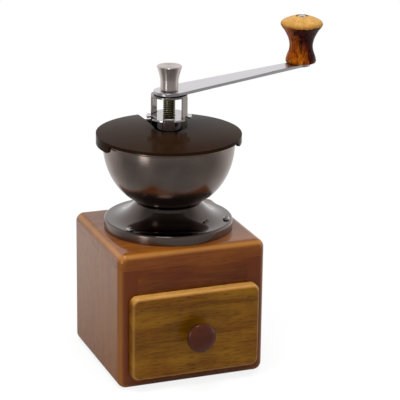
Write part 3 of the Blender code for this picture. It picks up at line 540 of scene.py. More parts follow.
# %% From sheets to a mesh
Sheet = namedtuple("Sheet", "points rows_meet columns_meet")
merge_distance = 1e-6
bevel_segments = 2


def quads(rows, columns, rows_meet, columns_meet):
    """Corner numbers of every face of a grid. The remainder wraps the last row or column round."""
    row, column = np.meshgrid(np.arange(rows - (not rows_meet)), np.arange(columns - (not columns_meet)),
                              indexing="ij")
    next_row = (row + 1) % rows
    next_column = (column + 1) % columns
    corners = (row * columns + column, row * columns + next_column,
               next_row * columns + next_column, next_row * columns + column)
    return np.stack(corners, axis=-1).reshape(-1, 4)


print("faces of a grid of 2 rows and 3 columns:", quads(2, 3, False, False).tolist())


def surface(name, sheets, **edges):
    """One mesh object from sheets. What is said of its edges goes on to finished_mesh."""
    shape = bmesh.new()
    for sheet in sheets:
        rows, columns = sheet.points.shape[:2]
        mesh = bpy.data.meshes.new("sheet")
        faces = quads(rows, columns, sheet.rows_meet, sheet.columns_meet)
        mesh.from_pydata(sheet.points.reshape(-1, 3).tolist(), [], faces.tolist())
        shape.from_mesh(mesh)
        bpy.data.meshes.remove(mesh)
    return finished_mesh(name, shape, **edges)


def finished_mesh(name, shape, sharp=38.0, bevel=0.0, bevel_angle=40.0):
    """Merge, turn the faces outwards, and shade smooth up to the sharp angle. Edges that are steeper
    than the bevel's angle are broken by a small round."""
    bmesh.ops.remove_doubles(shape, verts=shape.verts, dist=merge_distance)
    bmesh.ops.dissolve_degenerate(shape, edges=shape.edges, dist=merge_distance / 10)
    bmesh.ops.recalc_face_normals(shape, faces=shape.faces)
    mesh = bpy.data.meshes.new(name)
    shape.to_mesh(mesh)
    shape.free()
    mesh.shade_smooth()
    mesh.set_sharp_from_angle(angle=math.radians(sharp))
    piece = bpy.data.objects.new(name, mesh)
    bpy.context.scene.collection.objects.link(piece)
    if bevel:
        soften(piece, bevel, bevel_angle)
    return piece


def soften(piece, width, angle):
    """Break a piece's sharp edges by a small round, and keep its flats flat."""
    change = piece.modifiers.new("broken_edges", "BEVEL")
    change.width = width
    change.segments = bevel_segments
    change.limit_method = "ANGLE"
    change.angle_limit = math.radians(angle)
    change.harden_normals = False
    flats = piece.modifiers.new("flat_flats", "WEIGHTED_NORMAL")
    flats.keep_sharp = True


# %% [markdown]
# A finished surface hangs on the body that it moves with, gets its finish, and stands for its solid,
# which is then hidden. Its object stays at the origin: whatever has to be moved or turned is moved
# as points, before the mesh is made.

# %% Fit a piece in its solid's place


def fit(piece, body, slot, finish, *solids):
    """Hang a piece on its body, give it its finish, and let it stand for its solids."""
    piece.data.materials.clear()
    piece.data.materials.append(finish)
    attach(piece, body)
    if solids:
        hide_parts(*solids)
    print(f"{piece.name}: {len(piece.data.polygons)} faces, on {body}")
    return piece


def dress(node, sheets, body, slot, finish, **edges):
    """Make the surface that stands for one solid, and fit it in that solid's place."""
    return fit(surface(node + "_dressed", sheets, **edges), body, slot, finish, node)


def moved(sheet, place=(0.0, 0.0, 0.0), turn=None):
    """A sheet whose points are turned by a matrix, then moved."""
    points = sheet.points if turn is None else sheet.points @ np.array(turn).T
    return sheet._replace(points=points + np.array(place))


def swung(sheet, angle):
    """A sheet turned about the shaft's axis."""
    return moved(sheet, turn=Matrix.Rotation(angle, 3, "Z"))


# %% [markdown]
# ## Outlines
# Most of the mill is turned or pressed, so most shapes start as an outline of (radius, height)
# points. Three helpers draw them: an arc, a curve that flows through chosen points, and a rounding
# that replaces a corner by a small curve, as an emery cloth does.

# %% Outline helpers


def arc(centre, radius, start, end, steps):
    """Points on a circle from one angle to another, in degrees, both ends included."""
    angle = np.radians(np.linspace(start, end, steps + 1))
    return np.stack([centre[0] + radius * np.cos(angle), centre[1] + radius * np.sin(angle)], axis=1)


print("a quarter circle in two steps:", arc((0.0, 0.0), 1.0, 0, 90, 2).round(2).tolist())


def flowing(knots, steps):
    """Catmull-Rom: between two knots the curve is a cubic that leaves each along its neighbours' line."""
    knots = np.asarray(knots, float)
    ends = np.vstack([2 * knots[0] - knots[1], knots, 2 * knots[-1] - knots[-2]])
    a, b, c, d = (ends[k:len(ends) - 3 + k, None] for k in range(4))
    t = (np.arange(steps) / steps)[None, :, None]
    bend = a - b * 2.5 + c * 2 - d / 2
    twist = b * 1.5 - a / 2 - c * 1.5 + d / 2
    curve = b + (c - a) * t / 2 + bend * t ** 2 + twist * t ** 3
    return np.vstack([curve.reshape(-1, 2), knots[-1:]])


def eased(corners, radius, steps=3):
    """Round the corners of a closed outline. Each becomes (1-t)^2 a + 2t(1-t) corner + t^2 b, where a
    and b lie a radius before and after it, or less where a side is short."""
    corners = np.asarray(corners, float)
    ends = []
    for shift in (1, -1):
        side = np.roll(corners, shift, axis=0) - corners
        length = np.maximum(np.linalg.norm(side, axis=1), merge_distance)
        ends.append(corners + side * (np.minimum(radius, length * 0.45) / length)[:, None])
    t = np.linspace(0.0, 1.0, steps + 1)[None, :, None]
    before, after = (end[:, None] for end in ends)
    return ((1 - t) ** 2 * before + 2 * t * (1 - t) * corners[:, None] + t ** 2 * after).reshape(-1, 2)


# %% [markdown]
# A turned piece could be left to the Screw modifier, which spins an outline as well. The rings are
# worked out here, because a ring's radius may then change round the turn, and that gives threads,
# flutes, squares and hexagons from the same few lines.

# %% Rings about the shaft's axis


def full_turn(facets):
    """Evenly spaced angles once round, without the first one again."""
    return np.arange(facets) / facets * math.tau


def square_reach(half, angle):
    """How far off a square's side is at an angle: half / the larger of |cos| and |sin|."""
    return half / np.maximum(np.abs(np.cos(angle)), np.abs(np.sin(angle)))


def rings(radii, heights, facets, closed=True):
    """Grid of level rings about Z, (r cos a, r sin a, h). A ring's radius is a number, or one for
    each angle."""
    angle = full_turn(facets)
    radii = np.stack([np.broadcast_to(radius, facets) for radius in radii])
    height = np.broadcast_to(np.asarray(heights, float)[:, None], radii.shape)
    return Sheet(np.stack([radii * np.cos(angle), radii * np.sin(angle), height], axis=-1), closed, True)


def turned(outline, facets):
    """Grid of an outline spun about Z. It is closed into a ring unless it starts on the axis."""
    outline = np.asarray(outline, float)
    return rings(outline[:, 0], outline[:, 1], facets, closed=outline[0, 0] > 0)


# %% [markdown]
# ## The box
# The real box is glued up first and then sanded, so one rounding runs over all its boards. Each
# board could be a cube with a bevel, but then every joint would show a groove. So the script works
# as the joiner does: it shapes one rounded block and saw-cuts each board from it, which keeps the
# rounding exact across every joint. The sawn edges are broken by a tiny bevel.

# %% A rounded block and the boards sawn from it
left_low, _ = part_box("left_side_board")
_, right_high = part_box("right_side_board")
top_low, top_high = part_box("top_board")
box_low = Vector((left_low.x, left_low.y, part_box("bottom_board")[0].z))
box_high = Vector((right_high.x, right_high.y, top_high.z))
box_rounding = 5.6 * MM
rounding_steps = 9
seam_ease = 0.06 * MM
seam_angle = 50.0
seam_close = 0.14 * MM


def rounded_block(low, high, radius, steps):
    """A unit sphere pulled apart at its eight corners: corner + radius * (the sphere's own point), with
    the point (cos v cos u, cos v sin u, sin v)."""
    low, high = np.array(low), np.array(high)
    quarter = np.linspace(0.0, math.pi / 2, steps + 1)
    u = (quarter + np.arange(4)[:, None] * math.pi / 2).ravel()
    v = np.concatenate([quarter - math.pi / 2, quarter])
    v, u = np.meshgrid(v, u, indexing="ij")
    normal = np.stack([np.cos(v) * np.cos(u), np.cos(v) * np.sin(u), np.sin(v)], axis=-1)
    across = np.repeat([1, -1, -1, 1], steps + 1)
    along = np.repeat([1, 1, -1, -1], steps + 1)
    level = np.repeat([-1, 1], steps + 1)
    side = np.stack(np.broadcast_arrays(across[None, :], along[None, :], level[:, None]), axis=-1)
    return capped((low + high) / 2 + side * ((high - low) / 2 - radius) + radius * normal)


def capped(points):
    """A sheet whose first and last rows are closed by fans from their middles."""
    first, last = (np.broadcast_to(points[row].mean(axis=0), points[row].shape)[None] for row in (0, -1))
    return Sheet(np.concatenate([first, points, last]), False, True)


def sawn_board(name, finish):
    """Cut the rounded block along each plane where the board's solid ends inside it, a little further
    out, because the solids stand apart and the glued boards meet."""
    low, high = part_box(name)
    block = surface(name + "_blank", [rounded_block(box_low, box_high, box_rounding, rounding_steps)])
    shape = bmesh.new()
    shape.from_mesh(block.data)
    bpy.data.objects.remove(block)
    for axis in range(3):
        for place, full, side in ((low[axis], box_low[axis], -1), (high[axis], box_high[axis], 1)):
            if abs(place - full) > merge_distance * 10:
                point, normal = Vector(), Vector()
                point[axis], normal[axis] = place + side * seam_close, side
                every = [*shape.verts, *shape.edges, *shape.faces]
                cut = bmesh.ops.bisect_plane(shape, geom=every, plane_co=point, plane_no=normal,
                                             clear_outer=True)["geom_cut"]
                rim = [part for part in cut if isinstance(part, bmesh.types.BMEdge)]
                bmesh.ops.holes_fill(shape, edges=rim)
    board = finished_mesh(name + "_dressed", shape, bevel=seam_ease, bevel_angle=seam_angle)
    return fit(board, "root", "box_wood", finish, name)


for board_name in ("left_side_board", "right_side_board"):
    sawn_board(board_name, wood_side)
for board_name in ("back_panel", "bottom_board", "front_rail"):
    sawn_board(board_name, wood_rail)

# %% [markdown]
# The top board has a round hole for the grounds. A hole could be cut from the block as well, but a
# flat block with a hole is a ring, so its outline is carried round: each outline point has a base
# on an inner rectangle and a direction outwards, and the profile steps away from that base. The
# same helper draws the drawer's front.

# %% Carry a profile round a rounded rectangle
chute_radius = 31.0 * MM


def round_rectangle(half_x, half_y, corner_steps, side_steps):
    """Base points on a rectangle and unit directions outwards. At a corner the base stands still
    and the direction turns; along a side the direction stands still and the base moves."""
    quarter = np.linspace(0.0, math.pi / 2, corner_steps + 1)
    corner_angle = quarter + np.arange(4)[:, None] * math.pi / 2
    corners = np.array([(1, 1), (-1, 1), (-1, -1), (1, -1)]) * (half_x, half_y)
    share = (np.arange(1, side_steps) / side_steps)[None, :, None]
    following = np.roll(corners, -1, axis=0)
    sides = corners[:, None] * (1 - share) + following[:, None] * share
    base = np.concatenate([np.repeat(corners[:, None], corner_steps + 1, axis=1), sides], axis=1)
    angle = np.concatenate([corner_angle, np.repeat(corner_angle[:, -1:], side_steps - 1, axis=1)], axis=1)
    direction = np.stack([np.cos(angle), np.sin(angle)], axis=-1)
    return base.reshape(-1, 2), direction.reshape(-1, 2)


def carried(base, direction, profile):
    """Grid of base + direction * reach at each height, for a profile of (reach, height)."""
    profile = np.asarray(profile, float)
    level = base[None] + direction[None] * profile[:, :1, None]
    height = np.broadcast_to(profile[:, 1][:, None, None], (*level.shape[:2], 1))
    return np.concatenate([level, height], axis=-1)


def top_board():
    """Outer wall, rounded edge and top from the carried profile, then down through the round hole."""
    half_x, half_y = top_high.x - box_rounding, top_high.y - box_rounding
    base, direction = round_rectangle(half_x, half_y, rounding_steps, 12)
    edge = arc((0.0, top_high.z - box_rounding), box_rounding, 0, 90, rounding_steps)
    foot = top_low.z - seam_close
    outside = carried(base, direction, [(box_rounding, foot), *edge])
    angle = np.arctan2(base[:, 1], base[:, 0])
    circle = np.stack([np.cos(angle), np.sin(angle)], axis=1) * chute_radius
    hole = carried(circle, direction * 0.0, [(0.0, top_high.z), (0.0, foot)])
    return dress("top_board", [Sheet(np.concatenate([outside, hole]), True, True)], "root", "box_wood",
                 wood_top, bevel=seam_ease, bevel_angle=seam_angle)


top_board()

# %% [markdown]
# ## The drawer
# Its front laps over the face of the box. The corners are rounded first and the face edge after,
# so the profile that goes round it is a quarter circle between a flat face and a flat side.

# %% Drawer front
front_low, front_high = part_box("drawer_front")
front_corner = 5.0 * MM
front_round = 2.9 * MM
facing_front = Matrix.Rotation(math.pi / 2, 3, "X")


def drawer_front():
    """The block lies on its back while it is shaped: its height is the world's distance forwards."""
    middle = (front_low + front_high) / 2
    half_x = (front_high.x - front_low.x) / 2 - front_corner
    half_z = (front_high.z - front_low.z) / 2 - front_corner
    thickness = front_high.y - front_low.y
    base, direction = round_rectangle(half_x, half_z, 8, 16)
    edge = arc((front_corner - front_round, thickness - front_round), front_round, 0, 90, 8)
    wall = carried(base, direction, [(front_corner, 0.0), *edge, (0.0, thickness)])

    def level(share, height):
        """The base drawn in to a share of its size, at one height."""
        return carried(base * share, direction * 0.0, [(0.0, height)])

    rows = [level(0.0, 0.0), level(1.0, 0.0), wall, level(0.6, thickness), level(0.0, thickness)]
    sheet = moved(Sheet(np.concatenate(rows), False, True), (middle.x, front_high.y, middle.z), facing_front)
    return dress("drawer_front", [sheet], "drawer", "drawer_front_wood", wood_front, bevel=seam_ease,
                 bevel_angle=seam_angle)


drawer_front()

# %% [markdown]
# Behind the front is a plain open box of thin, unvarnished boards. Cubes with a Bevel modifier would
# do. The rounded block is at hand already, with a smaller radius, and has no flat-shaded corners.

# %% Drawer box
drawer_ease = 0.6 * MM
for board_name, finish in (("drawer_left_side", wood_drawer), ("drawer_right_side", wood_drawer),
                           ("drawer_back", wood_drawer_back), ("drawer_bottom", wood_drawer_back)):
    board = rounded_block(*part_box(board_name), drawer_ease, 3)
    dress(board_name, [board], "drawer", "drawer_wood", finish)

# %% [markdown]
# The knob is a small turned mushroom, held by a screw from inside. It could be spun with the Screw
# modifier. Its outline flows from a flared foot through a slim neck into a domed head, and a few
# numbers say it, so it is turned here, lying on its back like the front.

# %% Drawer knob
knob_low, knob_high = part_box("drawer_knob")
knob_radius = (knob_high.x - knob_low.x) / 2
knob_length = knob_high.y - knob_low.y
knob_shares = ((0.0, 0.57), (0.20, 0.44), (0.36, 0.44), (0.45, 0.80), (0.53, 0.95), (0.63, 1.0),
               (0.75, 0.94), (0.87, 0.72), (0.96, 0.38), (1.0, 0.0))


def shaped_side(shares, radius, length):
    """A flowing curve through (share of the length, share of the radius), kept within its length."""
    side = flowing([(out * radius, up * length) for up, out in shares], 5)
    return np.clip(side, 0.0, (np.inf, length))


def drawer_knob():
    """Radius = the knob's own times a share that flows along its length."""
    side = shaped_side(knob_shares, knob_radius, knob_length)
    place = ((knob_low.x + knob_high.x) / 2, knob_high.y, (knob_low.z + knob_high.z) / 2)
    knob = moved(turned(np.vstack([(0.0, 0.0), side]), 96), place, facing_front)
    return dress("drawer_knob", [knob], "drawer", "knob_wood", wood_knob)


drawer_knob()

# %% [markdown]
# ## Screws
# The heads that show are domed with a cross recess. A Boolean could cut the cross, but seen from
# above a head is a disc, so its surface is a height over that disc: a dome, less a pit wherever
# the point lies in one of two crossing slots. The shank below is rows added to the same grid.

# %% Cross-head screws
recess_half_width = 0.17
recess_half_length = 0.62
recess_share = 0.6
shoulder_share = 0.25


def screw_sheet(head_radius, head_height, shank_radius, shank_length, facets=72, steps=16):
    """Height = dome - pit, with dome = h (1 - (r/R)^2)^0.6 and pit = depth * (inside a slot)."""
    share = np.linspace(1.0, 0.0, steps + 1)
    radius, angle = np.meshgrid(share * head_radius, full_turn(facets), indexing="ij")
    x, y = radius * np.cos(angle), radius * np.sin(angle)
    crown = (1 - (radius / head_radius) ** 2) ** 0.6
    dome = head_height * (shoulder_share + (1 - shoulder_share) * crown)
    near = np.minimum(np.abs(x), np.abs(y)) / (recess_half_width * head_radius)
    far = np.maximum(np.abs(x), np.abs(y)) / (recess_half_length * head_radius)
    slot = np.clip((1.25 - near) * 3, 0, 1) * np.clip((1.1 - far) * 5, 0, 1)
    top = np.stack([x, y, dome - head_height * recess_share * slot], axis=-1)
    below = turned([(head_radius, 0.0), (shank_radius, 0.0), (shank_radius, -shank_length),
                    (0.0, -shank_length)], facets)
    return Sheet(np.concatenate([top[::-1], below.points]), False, True)


def cross_screw(node, axis_up, body, head_radius, head_height, shank_radius, turn=0.6):
    """Stand a screw where its solid is, with its head at the end that the axis points to."""
    low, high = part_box(node)
    length = max(high - low)
    screw = screw_sheet(head_radius, head_height, shank_radius, length - head_height)
    seat = (low + high) / 2 + Vector(axis_up) * (length / 2 - head_height)
    rotation = Vector(axis_up).to_track_quat("Z", "Y").to_matrix() @ Matrix.Rotation(turn, 3, "Z")
    return dress(node, [moved(screw, seat, rotation)], body, "steel", steel_screw, sharp=50.0)


flange_head = {"head_radius": 2.1 * MM, "head_height": 1.3 * MM, "shank_radius": 1.2 * MM}
ring_head = {**flange_head, "head_radius": 2.5 * MM}
knob_head = {"head_radius": 3.2 * MM, "head_height": 1.8 * MM, "shank_radius": 1.7 * MM}
for number in range(1, 4):
    cross_screw(f"flange_screw_{number}", (0, 0, 1), "root", turn=0.5 * number, **flange_head)
    cross_screw(f"burr_ring_screw_{number}", (0, 0, -1), "root", turn=0.4 * number, **ring_head)
cross_screw("drawer_knob_screw", (0, 1, 0), "drawer", **knob_head)

# %% [markdown]
# ## The pedestal
# A pressed flange rises like the mouth of a trumpet into the neck that carries the hopper. A few
# loops of a subdivided cylinder would do for the eye. The formula does for the fit as well: the
# height over the rim is a power of the way in, almost level at first, then ever steeper.

# %% Pedestal
stand_low, stand_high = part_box("pedestal")
stand_radius = stand_high.x
flange_thick = 6.1 * MM
rim_fillet = 1.5 * MM
flare_start = stand_radius - rim_fillet
flare_rise = 9.4 * MM
flare_power = 2.6
neck_radius = 22.2 * MM
waist_depth = 0.5 * MM
waist_rise = 1.3 * MM
chamfer = 0.3 * MM
sleeve_bore = 19.5 * MM
sleeve_radius = 21.7 * MM
sleeve_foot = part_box("outer_burr")[0].z
hollow_radius = 34.5 * MM
flange_wall = 2.2 * MM


def flare(radius):
    """Rim height + rise * ((R - r) / (R - neck)) ^ power."""
    share = np.clip((flare_start - radius) / (flare_start - neck_radius), 0, 1)
    return stand_low.z + flange_thick + flare_rise * share ** flare_power


def pedestal():
    """An outline of rim, flare, neck, the sleeve that holds the burr, and the flare's underside."""
    rim_top = stand_low.z + flange_thick
    rim = arc((flare_start, rim_top - rim_fillet), rim_fillet, 0, 90, 6)
    outer = np.linspace(flare_start, neck_radius, 40)[1:]
    inner = np.linspace(neck_radius, hollow_radius, 20)
    neck = [(neck_radius - waist_depth, rim_top + flare_rise + waist_rise),
            (neck_radius, stand_high.z - chamfer), (neck_radius - chamfer, stand_high.z)]
    sleeve = [(sleeve_bore, stand_high.z), (sleeve_bore, sleeve_foot), (sleeve_radius, sleeve_foot),
              (sleeve_radius, float(flare(neck_radius)) - flange_wall)]
    outline = np.vstack([(stand_radius, stand_low.z), rim, np.column_stack([outer, flare(outer)]), neck,
                         sleeve, np.column_stack([inner, flare(inner) - flange_wall])[1:],
                         (hollow_radius, stand_low.z)])
    return dress("pedestal", [turned(outline, 160)], "root", "black_gloss", black_gloss, sharp=42.0)


pedestal()

# %% [markdown]
# Three bosses hang from the flare inside, where the burr's ring is screwed on. They are cast with
# the pedestal, so their tops run into its wall. Joining them to it would only hide more edges.

# %% Bosses under the flare
boss_radius = 3.0 * MM
boss_sink = 1.0 * MM


def pedestal_bosses():
    """A plain cylinder over each ring screw, up into the flare's wall."""
    sheets = []
    for number in range(1, 4):
        low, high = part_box(f"burr_ring_screw_{number}")
        x, y, _ = (low + high) / 2
        top = float(flare(math.hypot(x, y) + boss_radius)) - boss_sink
        outline = [(0.0, sleeve_foot), (boss_radius, sleeve_foot), (boss_radius, top), (0.0, top)]
        sheets.append(moved(turned(outline, 40), (x, y, 0.0)))
    piece = surface("pedestal_bosses", sheets, bevel=0.2 * MM, bevel_angle=50.0)
    return fit(piece, "root", "black_gloss", black_gloss)


pedestal_bosses()

# %% [markdown]
# ## The hopper
# The bowl is spun from sheet, and its edge is rolled over into a bead. Half a sphere comes close,
# but the real side is fuller near the rim: a superellipse, (r/a)^n + (h/b)^n = 1 with n a little
# over 2. One number then fits it to the photograph's outline.

# %% Hopper bowl
bowl_low, bowl_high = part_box("hopper_bowl")
bead_radius = 1.1 * MM
bowl_radius = 42.35 * MM
bowl_fullness = 2.23
bowl_wall = 1.5 * MM
bead_height = bowl_high.z - bead_radius
bead_circle = bowl_high.x - bead_radius
bead_start, bead_end = -62, 200
bowl_seat = stand_high.z + 0.3 * MM
spigot_radius = 19.2 * MM
spigot_bore = 17.7 * MM


def bowl_side(inset, foot, steps):
    """Radius = a (1 - (depth / b)^n)^(1/n), from the foot up to the bead."""
    fall = (1 - (neck_radius / bowl_radius) ** bowl_fullness) ** (1 / bowl_fullness)
    tall = (bead_height - bowl_seat) / fall - inset
    height = foot + (bead_height - foot) * np.sin(np.linspace(0.0, math.pi / 2, steps + 1))
    share = ((bead_height - height) / tall) ** bowl_fullness
    return np.column_stack([(bowl_radius - inset) * (1 - share) ** (1 / bowl_fullness), height])


def hopper_bowl():
    """Up the spigot and the outside, round the bead, and down the inside, which is the same curve
    set in by the wall."""
    floor = bowl_seat + bowl_wall
    outside = bowl_side(0.0, bowl_seat, 40)[:-1]
    inside = bowl_side(bowl_wall, floor, 36)[-2::-1]
    bead = arc((bead_circle, bead_height), bead_radius, bead_start, bead_end, 16)
    outline = np.vstack([(spigot_radius, bowl_low.z), (spigot_radius, bowl_seat), outside, bead, inside,
                         (spigot_bore, floor), (spigot_bore, bowl_low.z)])
    return dress("hopper_bowl", [turned(outline, 176)], "root", "gunmetal", gunmetal, sharp=42.0)


hopper_bowl()

# %% [markdown]
# ## The lid
# A shallow dome with a slot to the back, so that it slides off past the hub. In polar coordinates
# the slot is simple: its wall stands at s / |cos a| beside the hub and at s in front of it. So the
# whole lid is one grid, from the slot's wall to the rim at each angle, then down round the skirt,
# whose depth is a function of the angle that makes the two side tabs.

# %% Lid
lid_low, lid_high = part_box("hopper_lid")
lid_turn = math.radians(-5.0)
lid_radius = 46.5 * MM
lid_thick = 2.1 * MM
lid_rise = 2.6 * MM
slot_half = 8.6 * MM
tab_inner = 44.7 * MM
tab_forward = math.radians(28.0)
tab_backward = math.radians(12.0)
tab_turn = math.radians(-7.0)
right_tab_lift = 1.6 * MM
tab_corner = 3.0 * MM
hollow_share = 0.93
lid_foot = lid_high.z - lid_rise - lid_thick
tab_drop = lid_foot - lid_low.z


def tab_depth(angle):
    """How far the skirt hangs at an angle: zero, or the drop less a quarter circle at each corner."""
    drop = np.where(np.cos(angle) > 0, tab_drop - right_tab_lift, tab_drop)
    side = np.abs((angle - tab_turn + math.pi / 2) % math.tau - math.pi)
    to_front = (math.pi / 2 + tab_forward - side) * lid_radius
    to_back = (side - (math.pi / 2 - tab_backward)) * lid_radius
    inside = np.minimum(to_front, to_back)
    short = np.clip(tab_corner - inside, 0.0, tab_corner)
    depth = drop - tab_corner + np.sqrt(tab_corner ** 2 - short ** 2)
    return np.where(inside >= -1e-9, depth, 0.0)


def lid_angles(count):
    """Angles from one horn of the slot round the front to the other, closer together at the horns
    and in the tabs' corners, with each tab's end given twice so that it can drop straight down."""
    horn = math.acos(slot_half / lid_radius)
    t = np.linspace(-1.0, 1.0, count)
    even = -math.pi / 2 + (math.pi / 2 + horn) * t * (1.35 - 0.35 * t ** 2)
    ends = []
    for edge, inwards in ((-tab_forward, 1), (tab_backward, -1)):
        corner = edge + inwards * (tab_corner / lid_radius) * (1 - np.cos(np.linspace(0, math.pi / 2, 6)))
        ends.append(np.concatenate([[edge - inwards * 1e-7], corner]))
    ends = np.concatenate(ends)
    every = np.concatenate([even, tab_turn + ends, tab_turn - math.pi - ends])
    return np.sort(every)


def hopper_lid():
    """Rows from the slot's wall over the dome, height = top - rise * (r/R)^2, to the rim, down the
    skirt, and back under the dome."""
    angle = lid_angles(220)
    beside_hub = slot_half / np.maximum(np.abs(np.cos(angle)), slot_half / lid_radius)
    wall_at = np.where(np.sin(angle) > 0, beside_hub, slot_half)

    def row(radius, height):
        """One row of points: a radius and a height at each angle."""
        across, along = radius * np.cos(angle), radius * np.sin(angle)
        return np.stack([across, along, np.broadcast_to(height, angle.shape)], axis=-1)

    def dome(radius):
        """Height = top - rise * (r / R)^2."""
        return lid_high.z - lid_rise * (radius / lid_radius) ** 2

    def under(radius):
        """The dome's underside: lower by its thickness, but not below the rim's foot."""
        return row(radius, np.maximum(dome(radius) - lid_thick, lid_foot))

    over = [wall_at + (lid_radius - wall_at) * s for s in 1 - (1 - np.linspace(0.0, 1.0, 16)) ** 1.2]
    skirt_foot = lid_foot - tab_depth(angle)
    skirt = np.maximum(tab_inner, wall_at)
    inner_edge = np.minimum(wall_at, tab_inner)
    hollow_edge = np.maximum(lid_radius * hollow_share, wall_at)
    back = [inner_edge + (hollow_edge - inner_edge) * s for s in np.linspace(1.0, 0.1, 8)]
    rows = [under(wall_at), *(row(r, dome(r)) for r in over), row(lid_radius, lid_foot),
            row(lid_radius, skirt_foot), row(skirt, skirt_foot), row(skirt, lid_foot), *map(under, back)]
    lid = swung(Sheet(np.stack(rows), True, False), lid_turn)
    return dress("hopper_lid", [lid], "lid", "brown_plastic", plastic, sharp=35.0, bevel=0.35 * MM,
                 bevel_angle=45.0)


hopper_lid()

# %% [markdown]
# ## The crank's head
# From the bottom up: the adjusting nut is a hub with a star wheel, the shaft's coarse thread shows
# above it, and the stopper is a plate whose two legs stand in the star's notches. One lobe of the
# star is an arc between two corners. Turning it six times gives the whole edge, and lines from the
# hub fan out to it so that none of them crosses a notch.

# %% Adjusting nut with its star wheel
nut_low, nut_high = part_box("adjusting_nut")
star_radius = 14.4 * MM
star_thick = 1.2 * MM
hub_radius = 7.45 * MM
shaft_bore = 4.0 * MM
notch_half = 3.45 * MM
notch_floor = 10.3 * MM
notch_count = 6
fan_radius = 9.9 * MM
nut_chamfer = 0.4 * MM
fan_margin = 0.1
legs_turn = math.radians(-52.0)


def star_wheel_edge(steps=12):
    """(radius, angle) round the star: for each lobe a floor corner, an arc, a floor corner and the
    middle of the next floor. Beside it go the angles at which lines to those points leave the hub."""
    sector = math.tau / notch_count
    floor_corner = math.atan(notch_half / notch_floor)
    mouth = math.asin(notch_half / star_radius)
    lobe = np.linspace(mouth, sector - mouth, steps)
    edge_angle = np.concatenate([[0.0, floor_corner], lobe, [sector - floor_corner]])
    corner_radius = notch_floor / math.cos(floor_corner)
    edge_radius = np.concatenate([[notch_floor, corner_radius], np.full(steps, star_radius), [corner_radius]])
    spread = np.linspace(floor_corner + fan_margin, sector - floor_corner - fan_margin, steps)
    fan_angle = np.concatenate([[0.0, floor_corner], spread, [sector - floor_corner]])
    turns = legs_turn + np.arange(notch_count)[:, None] * sector
    return np.tile(edge_radius, notch_count), (turns + edge_angle).ravel(), (turns + fan_angle).ravel()


def adjusting_nut():
    """Rings of (radius, angle, height): up the hub's wall, out along the star, over its edge and in."""
    edge_radius, edge_angle, fan_angle = star_wheel_edge()
    star_foot = nut_high.z - star_thick
    rows = [(shaft_bore, fan_angle, nut_low.z), (hub_radius - nut_chamfer, fan_angle, nut_low.z),
            (hub_radius, fan_angle, nut_low.z + nut_chamfer), (hub_radius, fan_angle, star_foot),
            (fan_radius, fan_angle, star_foot), (edge_radius, edge_angle, star_foot),
            (edge_radius, edge_angle, nut_high.z), (fan_radius, fan_angle, nut_high.z),
            (shaft_bore, fan_angle, nut_high.z)]
    grid = [np.stack(np.broadcast_arrays(r * np.cos(a), r * np.sin(a), h), axis=-1) for r, a, h in rows]
    return dress("adjusting_nut", [Sheet(np.stack(grid), True, True)], "crank", "steel", chrome_hub,
                 bevel=0.2 * MM)


adjusting_nut()

# %% [markdown]
# The shaft is round in the bushes, threaded above them, and square where it drives. A thread is
# often faked by a stack of rings, which doesn't wind. A real one is as easy: its radius rises and
# falls with (height - pitch * angle / turn) / pitch.

# %% Shaft
shaft_low, shaft_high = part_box("crank_shaft")
arm_low, arm_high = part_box("crank_arm")
stopper_low, stopper_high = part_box("stopper")
burr_low, burr_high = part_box("inner_burr")
collar_height = 1.2 * MM
plate_thick = 1.2 * MM
clearance = 0.3 * MM
thread_pitch = 1.25 * MM
thread_foot = nut_low.z + 1.0 * MM
thread_top = stopper_high.z - plate_thick - collar_height - clearance
square_half = 2.7 * MM
square_corner = 3.6 * MM
stud_radius = 2.6 * MM
shaft_facets = 96


def crank_shaft():
    """Rows of (radius for each angle, height): studs, squares, the plain journal and the thread."""
    angle = full_turn(shaft_facets)
    square = np.minimum(square_reach(square_half, angle), square_corner)
    heights = np.arange(thread_foot, thread_top, thread_pitch / 12)
    phase = (heights[:, None] / thread_pitch - angle[None, :] / math.tau) % 1.0
    tooth = np.clip(1.7 - np.abs(phase * 2 - 1) * 2.0, 0.0, 1.0)
    thread = thread_root + (thread_crest - thread_root) * tooth
    rows = [(0.0, shaft_low.z), (stud_radius, shaft_low.z), (stud_radius, burr_low.z), (square, burr_low.z),
            (square, burr_high.z), (thread_crest, burr_high.z), (thread_crest, thread_foot),
            *zip(thread, heights), (thread_crest, thread_top), (square, thread_top), (square, arm_high.z),
            (stud_radius, arm_high.z), (stud_radius, shaft_high.z), (0.0, shaft_high.z)]
    shaft = swung(rings(*zip(*rows), shaft_facets, closed=False), arm_turn)
    return dress("crank_shaft", [shaft], "crank", "steel", steel_thread, sharp=40.0)


crank_shaft()

# %% [markdown]
# The stopper's legs are strips bent down from its plate. A bevelled curve would carry a section
# too, but would need to be made a mesh first. Here a strip is a section carried along a path: the
# path runs out from under the arm, round a bend and straight down, and at each step the section
# stands square to it.

# %% Stopper
collar_radius = 4.75 * MM
collar_ease = 0.2 * MM
plate_radius = 11.6 * MM
leg_width = 6.3 * MM
leg_thick = 1.0 * MM
leg_ease = 0.35 * MM
leg_outer = 11.9 * MM
leg_bend = 1.8 * MM
leg_root = plate_radius * 0.55


def strip(path, outward, width, thickness, corner):
    """Grid of a rounded section carried along a path in the plane of X and Z, with closed ends."""
    base, direction = round_rectangle(width / 2 - corner, thickness / 2 - corner, 3, 2)
    across, depth = (base + direction * corner).T
    x, z = (path[:, axis, None] + outward[:, axis, None] * depth for axis in (0, 1))
    return capped(np.stack([x, np.broadcast_to(across, x.shape), z], axis=-1))


